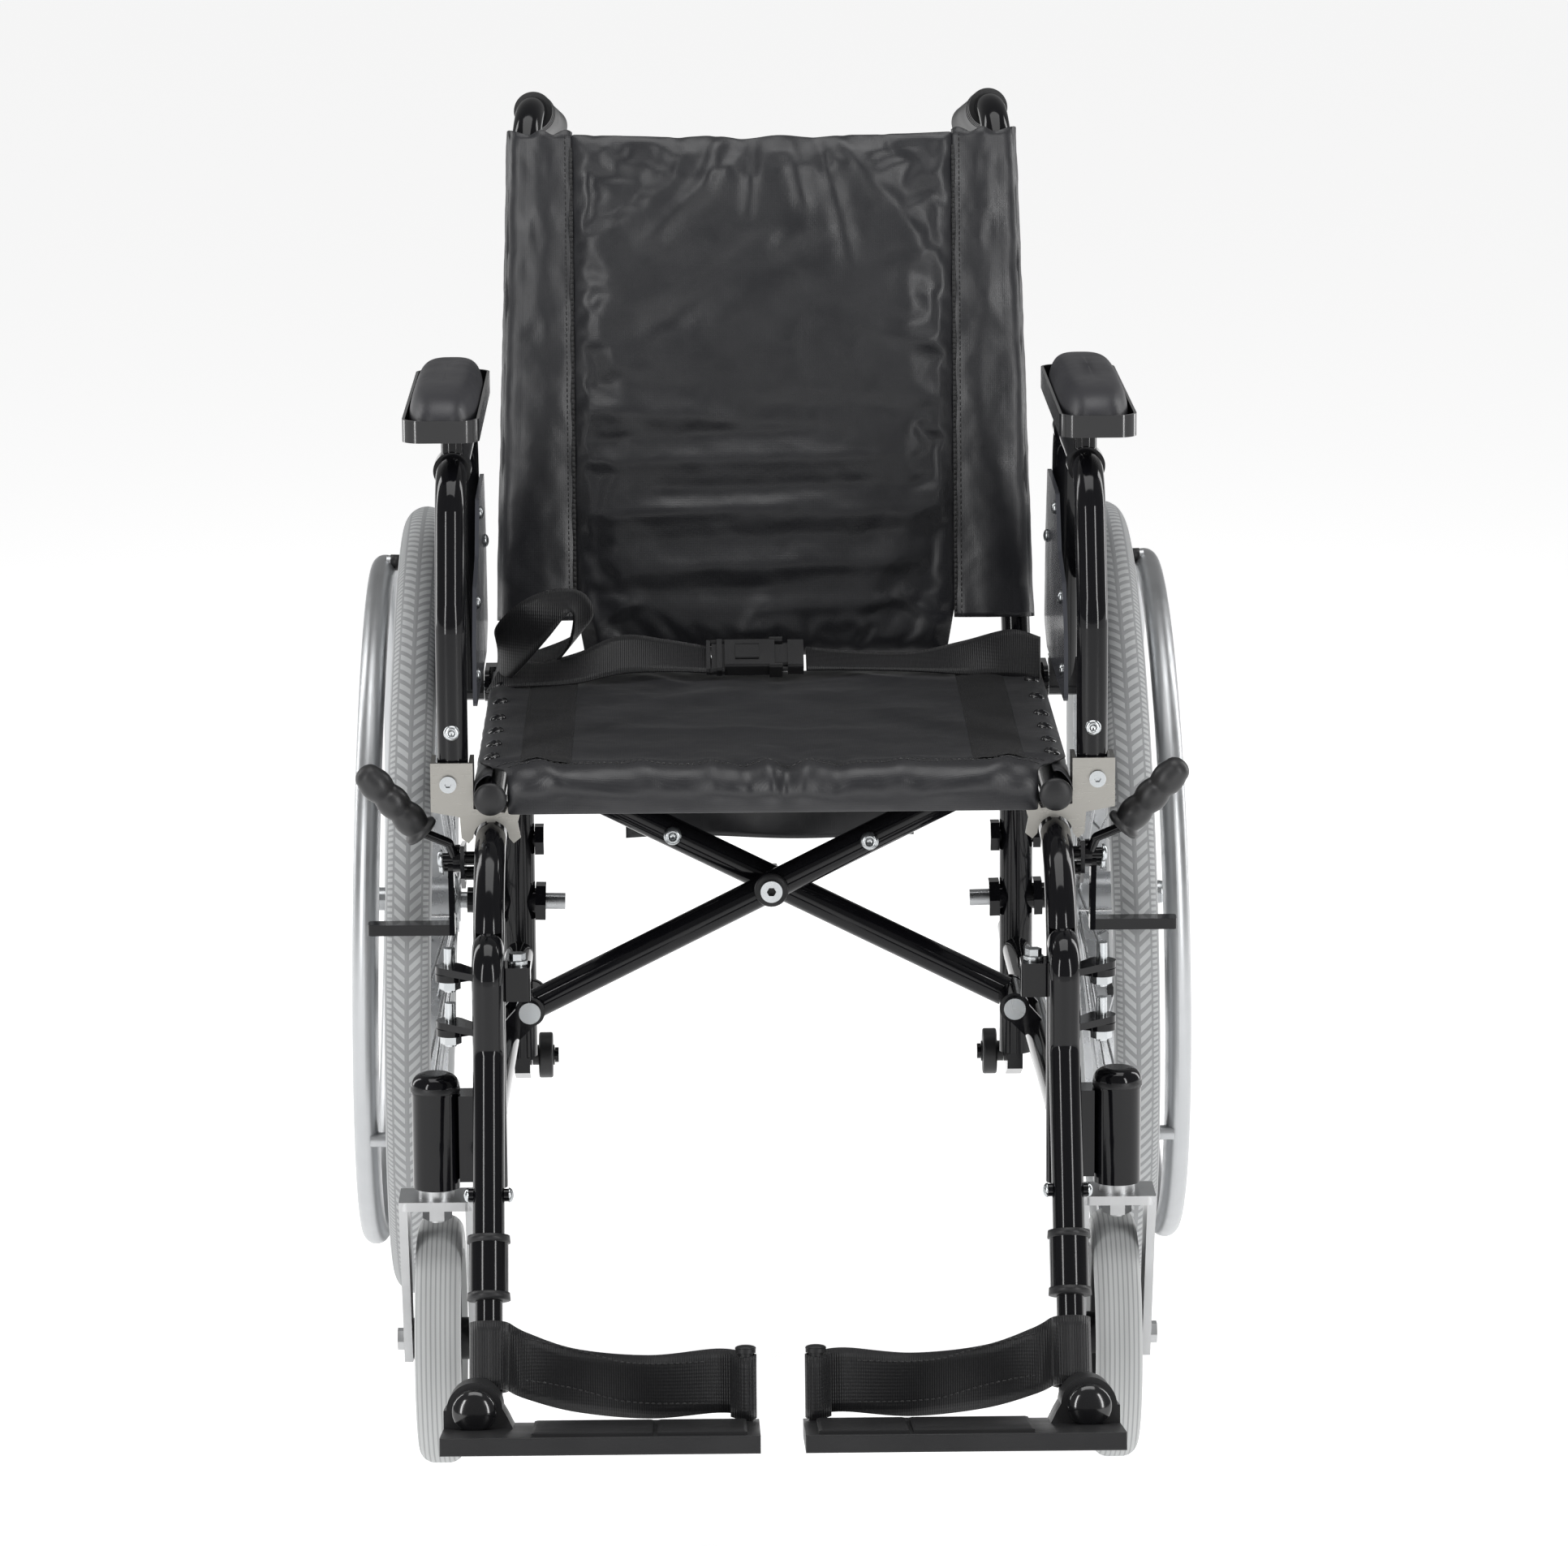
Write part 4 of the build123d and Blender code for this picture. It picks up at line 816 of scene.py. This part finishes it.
belt_left = belt_band("belt_left", [
    ((0.030, 0.172, 0.503), (0.0, 0.9, 0.35), 0.033),
    ((0.065, 0.178, 0.500), (0.1, 0.95, 0.2), 0.036),
    ((0.110, 0.178, 0.499), (0.05, 0.95, 0.2), 0.037),
    ((0.150, 0.170, 0.503), (0.0, 0.8, 0.5), 0.037),
    ((0.185, 0.155, 0.509), (0.0, 0.4, 0.9), 0.037),
    ((0.207, 0.145, 0.505), (0.0, 0.1, 1), 0.036),
])
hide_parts("seat_belt")
seat_pieces += [belt_right, belt_cross, belt_left]


def block(low, high, cut=0.0015):
    """Box with chamfered edges along its length."""
    (x0, y0, z0), (x1, y1, z1) = low, high
    ring = [(y0 + cut, z0), (y1 - cut, z0), (y1, z0 + cut), (y1, z1 - cut),
            (y1 - cut, z1), (y0 + cut, z1), (y0, z1 - cut), (y0, z0 + cut)]
    points = [Vector((x, y, z)) for x in (x0, x1) for y, z in ring]
    faces = [(i, (i + 1) % 8, 8 + (i + 1) % 8, 8 + i) for i in range(8)]
    faces += [tuple(range(7, -1, -1)), tuple(range(8, 16))]
    return points, faces


tilt = Matrix.Rotation(radians(-62), 4, "X")
centre = Vector((-0.004, 0.170, 0.505))
BUCKLE_BLOCKS = (
    # socket body, tongue and latch body
    ((-0.028, -0.0055, -0.0165), (0.010, 0.0055, 0.0165)),
    ((0.010, -0.0035, -0.0125), (0.020, 0.0035, 0.0125)),
    ((0.020, -0.005, -0.0165), (0.032, 0.005, 0.0165)),
    # webbing bars and the frame round them
    ((-0.034, -0.004, -0.019), (-0.030, 0.004, 0.019)),
    ((-0.040, -0.003, -0.019), (-0.028, 0.003, -0.0155)),
    ((-0.040, -0.003, 0.0155), (-0.028, 0.003, 0.019)),
    ((-0.042, -0.003, -0.019), (-0.039, 0.003, 0.019)),
    ((-0.038, -0.001, -0.017), (0.030, 0.001, 0.017)),
    # side tabs and the raised field on the face
    ((0.006, -0.0062, -0.0185), (0.016, 0.0062, -0.0135)),
    ((0.006, -0.0062, 0.0135), (0.016, 0.0062, 0.0185)),
    ((-0.020, -0.0064, -0.009), (-0.002, -0.005, 0.009)),
)
points, faces = merged([block(low, high) for low, high in BUCKLE_BLOCKS])
points = [centre + (tilt @ p) for p in points]
buckle = make("buckle", points, faces, MATTE, "seat", smooth=False)
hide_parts("belt_buckle")
seat_pieces.append(buckle)
for piece in seat_pieces:
    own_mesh(piece)


# ---------------------------------------------------------------- armrest pads
PAD_RINGS, PAD_SPOKES = 22, 64


def signed_power(value, power):
    """Power of a cosine or sine that keeps its sign, for rounded-square outlines."""
    return abs(value) ** power * (1 if value > 0 else -1)


for side_name, side in SIDES:
    low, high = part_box(f"arm_pad_{side_name}")
    middle, half = (low + high) / 2, (high - low) / 2
    points = []
    for ring in range(PAD_RINGS + 1):
        lift = pi / 2 * ring / PAD_RINGS
        drawn_in = max(cos(lift), 0.0)
        reach = drawn_in ** 0.42
        for spoke in range(PAD_SPOKES):
            turn = 2 * pi * spoke / PAD_SPOKES
            x = half.x * reach * signed_power(cos(turn), 0.62)
            y = half.y * (0.12 * reach + 0.88 * drawn_in ** 0.16) * signed_power(sin(turn), 0.42)
            rear, front = max(0.0, y / half.y), max(0.0, -y / half.y)
            rise = 2 * half.z * sin(lift) ** 0.9 * (1 - 0.22 * rear ** 2 - 0.10 * front ** 4)
            points.append(Vector((middle.x + x, middle.y + y, low.z + rise)))
    faces = []
    for ring in range(PAD_RINGS):
        for spoke in range(PAD_SPOKES):
            a, b = ring * PAD_SPOKES + spoke, ring * PAD_SPOKES + (spoke + 1) % PAD_SPOKES
            faces.append((a, b, b + PAD_SPOKES, a + PAD_SPOKES))
    faces.append(tuple(range(PAD_SPOKES - 1, -1, -1)))
    faces.append(tuple(range(PAD_RINGS * PAD_SPOKES, (PAD_RINGS + 1) * PAD_SPOKES)))
    pad = make(f"moulded_pad_{side_name}", points, faces, PAD, f"armrest_{side_name}")
    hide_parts(f"arm_pad_{side_name}")


# ---------------------------------------------------------------- hardware on both sides
HANGER_X = 0.2
HANGER_TOP = (-0.304, 0.315)
HANGER_SLOPE = radians(65)
PLATE_TILT = radians(-12)
PEG_X, PEG_Y = 24, -419
STRAP_THICK = 0.0014
STRAP_HEIGHT = 0.122  # middle of its ring round the footrest tube
GRIP_RADIUS = 0.0098
HANDRIM_SCREWS = 6
HANDRIM_SCREW_RADIUS = 0.265


def hanger_y(z):
    """Where the middle line of the sloping hanger tube is at a height."""
    y_top, z_top = HANGER_TOP
    return y_top - (z_top - z) / tan(HANGER_SLOPE)


for side_name, side in SIDES:
    hang = f"hanger_{side_name}"
    plate_body = f"footplate_{side_name}"
    frame_body = f"frame_{side_name}"
    # brake grip with three finger bulges and a lip at its lower end
    low, high = Vector((side * 0.250, -0.146, 0.438)), Vector((side * 0.293, -0.158, 0.487))
    run = high - low
    profile = [(0.0, 0.0045), (0.0005, 0.0130), (0.003, 0.0130), (0.0045, 0.0100)]
    for k in range(25):
        t = k / 24
        profile.append((run.length * (0.08 + 0.80 * t), GRIP_RADIUS + 0.0019 * abs(sin(3 * pi * t))))
    for k in range(1, 7):
        turn = pi / 2 * k / 6
        profile.append((run.length * (0.88 + 0.12 * sin(turn)), max(GRIP_RADIUS * cos(turn), 0.0003)))
    points, faces = lathe(low, run, profile)
    grip = make(f"brake_handle_{side_name}", points, faces, RUBBER, f"brake_lever_{side_name}")
    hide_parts(f"brake_grip_{side_name}")
    # pivot screws of the brake
    parts = [socket_head((side * 0.2372, -0.124, 0.414), (side, 0, 0), 0.0065, 0.0035),
             socket_head((side * 0.2372, -0.104, 0.404), (side, 0, 0), 0.0065, 0.0035)]
    points, faces = merged(parts)
    make(f"brake_screws_{side_name}", points, faces, ZINC, frame_body)
    # button screw low on the armrest's front leg, and the panel's screws on its inner face
    parts = [socket_head((side * 0.227, -0.1758, 0.516), (0, -1, 0), 0.0058, 0.0032)]
    for y, z in ((-0.035, 0.585), (-0.055, 0.535), (0.045, 0.638), (0.15, 0.60)):
        parts.append(dome((side * 0.2122, y, z), (-side, 0, 0), 0.0050, 0.0028))
    points, faces = merged(parts)
    make(f"arm_screws_{side_name}", points, faces, ZINC, f"armrest_{side_name}")
    # bright dome rivets on both sides of the hanger
    parts = []
    for out in (1, -1):
        spot = (side * (HANGER_X + out * 0.0139), hanger_y(0.224), 0.224)
        parts.append(dome(spot, (side * out, 0, 0), 0.0052, 0.0034))
    points, faces = merged(parts)
    make(f"hanger_rivets_{side_name}", points, faces, ZINC, hang)
    # collar rings in matte plastic
    down = Vector((0, hanger_y(0.100) - hanger_y(0.200), -0.100)).normalized()
    parts = []
    for z in (0.1985, 0.1625):
        ring = [(0, 0.0116), (0.0004, 0.0146), (0.0054, 0.0150), (0.006, 0.0116)]
        parts.append(lathe((side * HANGER_X, hanger_y(z), z), down, ring, 40))
    points, faces = merged(parts)
    make(f"collar_rings_{side_name}", points, faces, MATTE, hang)
    # footplate: dome knob, raised tread pads, peg cap
    lean = Matrix.Rotation(PLATE_TILT, 4, "X")
    pivot = Vector((side * 0.208, -0.440, 0.100))

    def on_plate(x, y, z, side=side, lean=lean, pivot=pivot):
        """Level footplate coordinates in millimetres to the tilted plate."""
        return pivot + lean @ (Vector((side * x, y, z)) * MM - pivot)

    points, faces = dome(on_plate(208, -467.9, 100), lean @ Vector((0, -1, 0)), 0.0150, 0.0075, 0.003)
    make(f"knob_{side_name}", points, faces, GLOSS, plate_body)
    parts = []
    for x0, x1, y0, y1 in ((24, 84, -524, -432), (87, 168, -524, -432)):
        ring = [on_plate(x, y, z) for z in (87.9, 90.0) for x, y in ((x0, y0), (x1, y0), (x1, y1), (x0, y1))]
        inset = ((x0 + 2, y0 + 2), (x1 - 2, y0 + 2), (x1 - 2, y1 - 2), (x0 + 2, y1 - 2))
        inner = [on_plate(x, y, 90.6) for x, y in inset]
        faces = [(i, (i + 1) % 4, 4 + (i + 1) % 4, 4 + i) for i in range(4)]
        faces += [(4 + i, 4 + (i + 1) % 4, 8 + (i + 1) % 4, 8 + i) for i in range(4)] + [(8, 9, 10, 11)]
        parts.append((ring + inner, faces if side > 0 else [tuple(reversed(f)) for f in faces]))
    points, faces = merged(parts)
    make(f"tread_pad_{side_name}", points, faces, MATTE, plate_body, smooth=False)
    peg_axis = lean @ UP
    points, faces = dome(on_plate(PEG_X, PEG_Y, 136.8), peg_axis, 0.0072, 0.0022, 0.0006)
    make(f"peg_cap_{side_name}", points, faces, MATTE, plate_body)
    # heel strap: ring round the tube, sloping band, loop on the peg
    along = -down
    ring_centre = Vector((side * HANGER_X, hanger_y(STRAP_HEIGHT), STRAP_HEIGHT))
    across, back = frame_of(along)
    stations = []
    for k in range(13):
        turn = 2 * pi * k / 12
        spot = ring_centre + (across * cos(turn) + back * sin(turn)) * 0.0128
        stations.append((spot, along, 0.047))
    wrap = ribbon(stations, STRAP_THICK, per_gap=5)
    peg_mid = on_plate(PEG_X, PEG_Y, 111)
    tail = [
        (ring_centre + Vector((-side * 0.0130, 0.001, 0)), along, 0.047),
        (ring_centre + Vector((-side * 0.026, 0.008, -0.009)), along * 0.5 + UP * 0.5, 0.046),
        (ring_centre + Vector((-side * 0.060, 0.004, -0.0185)), UP, 0.045),
        (ring_centre + Vector((-side * 0.110, -0.014, -0.018)), UP, 0.045),
        (peg_mid + Vector((side * 0.020, 0.011, 0.001)), peg_axis, 0.044),
        (peg_mid + Vector((0, 0.0072, 0)), peg_axis, 0.043),
        (peg_mid + Vector((-side * 0.0068, 0.001, 0)), peg_axis, 0.043),
        (peg_mid + Vector((0, -0.0068, 0)), peg_axis, 0.043),
        (peg_mid + Vector((side * 0.010, 0.003, 0)), peg_axis, 0.043),
    ]
    points, faces = merged([wrap, ribbon(tail, STRAP_THICK, per_gap=12)])
    strap = make(f"strap_{side_name}", points, faces, WEB, plate_body)
    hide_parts(f"heel_strap_{side_name}")
    strap_tree = surface(strap)
    for line, drop in enumerate((0.014, -0.014)):
        path = []
        for x in range(24, 150, 5):
            path.append(ring_centre + Vector((-side * x * MM, -0.05, drop - 0.0155 * min(1, x / 90))))
        stitches(f"strap_stitch_{side_name}_{line}", path, strap_tree, (0, 1, 0), plate_body)
    # plastic cap on the front end of the seat rail
    cap_body = "brace_front" if side > 0 else "brace_rear"
    points, faces = dome((side * 0.2, -0.1905, 0.471), (0, -1, 0), 0.0118, 0.004, 0.0015)
    make(f"rail_cap_{side_name}", points, faces, MATTE, cap_body)
    # matte cap on the caster housing
    points, faces = dome((side * 0.239, -0.270, 0.2795), (0, 0, 1), 0.0174, 0.0105, 0.002)
    make(f"housing_cap_{side_name}", points, faces, MATTE, frame_body)
    # release button in the middle of the rear wheel's hub
    spin = joint(f"wheel_{side_name}_spin")
    axle = Vector(spin["axis"]).normalized()
    hub = Vector(spin["pos_m"])
    points, faces = dome(hub + axle * 0.0378, axle, 0.0088, 0.004, 0.001)
    make(f"axle_button_{side_name}", points, faces, ZINC, f"wheel_{side_name}")
    # spacers where the handrim is screwed to the rim
    parts = []
    for k in range(HANDRIM_SCREWS):
        turn = 2 * pi * k / HANDRIM_SCREWS + pi / 2
        spot = hub + Vector((0, HANDRIM_SCREW_RADIUS * cos(turn), HANDRIM_SCREW_RADIUS * sin(turn)))
        parts.append(lathe(spot + axle * 0.0122, axle, [(0, 0.0062), (0.0085, 0.0062), (0.0085, 0.0056)], 20))
    points, faces = merged(parts)
    make(f"standoffs_{side_name}", points, faces, MATTE, f"wheel_{side_name}")

# screws in the upper ends of the brace tubes
for number, (x, y, body) in enumerate(((-0.072, -0.0195, "brace_rear"), (0.072, -0.0435, "brace_front"))):
    points, faces = socket_head((x, y, 0.371 + abs(x) * 0.5), (0, -1, 0), 0.0068, 0.0042)
    make(f"brace_screw_{number}", points, faces, ZINC, body)
# plastic ring round the head of the middle bolt
ring = [(0, 0.0122), (0.0022, 0.0126), (0.0044, 0.0116), (0.0044, 0.0084)]
points, faces = lathe((0, -0.0432, 0.371), (0, -1, 0), ring, 36)
make("brace_cap_ring", points, faces, MATTE, "brace_front")


# ---------------------------------------------------------------- floor, light, camera
def area_light(name, where, target, size, power):
    data = bpy.data.lights.new(name, "AREA")
    data.shape = "RECTANGLE"
    data.size, data.size_y = size
    data.energy = power
    obj = bpy.data.objects.new(name, data)
    obj.location = where
    obj.rotation_euler = (Vector(target) - Vector(where)).to_track_quat("-Z", "Y").to_euler()
    scene.collection.objects.link(obj)


FLOOR = Shader("floor", (0.80, 0.80, 0.80), 0.8, specular=0.05)
FLOOR.set("Emission Color", (1, 1, 1, 1))
FLOOR.set("Emission Strength", 0.72)
mesh = bpy.data.meshes.new("floor")
mesh.from_pydata([(-40, -40, 0), (40, -40, 0), (40, 40, 0), (-40, 40, 0)], [], [(0, 1, 2, 3)])
mesh.materials.append(FLOOR.material)
floor = bpy.data.objects.new("floor", mesh)
scene.collection.objects.link(floor)

world = bpy.data.worlds.new("studio")
scene.world = world
world.use_nodes = True
world.node_tree.nodes["Background"].inputs[0].default_value = (1, 1, 1, 1)
world.node_tree.nodes["Background"].inputs[1].default_value = 0.24
area_light("top", (0, -0.3, 2.9), (0, 0, 0.4), (2.2, 1.6), 34)
area_light("strip_right", (1.9, -2.3, 1.3), (0, 0, 0.5), (0.35, 2.2), 34)
area_light("strip_left", (-1.9, -2.3, 1.3), (0, 0, 0.5), (0.35, 2.2), 34)
area_light("rim_right", (2.2, 1.2, 1.3), (0, 0, 0.5), (0.5, 2.2), 20)
area_light("rim_left", (-2.2, 1.2, 1.3), (0, 0, 0.5), (0.5, 2.2), 20)

camera = bpy.data.cameras.new("camera")
camera.sensor_width = 36
camera.lens = 145.97
camera.shift_x = 0.0300
camera.clip_end = 200
camera_object = bpy.data.objects.new("camera", camera)
place = Matrix.Translation((-0.0510, -4.5916, 1.3826))
yaw, pitch, roll = (Matrix.Rotation(-0.0058, 4, "Z"), Matrix.Rotation(pi / 2 - 0.2022, 4, "X"),
                    Matrix.Rotation(-0.0079, 4, "Z"))
camera_object.matrix_world = place @ yaw @ pitch @ roll
scene.collection.objects.link(camera_object)
scene.camera = camera_object
scene.view_settings.view_transform = "Standard"
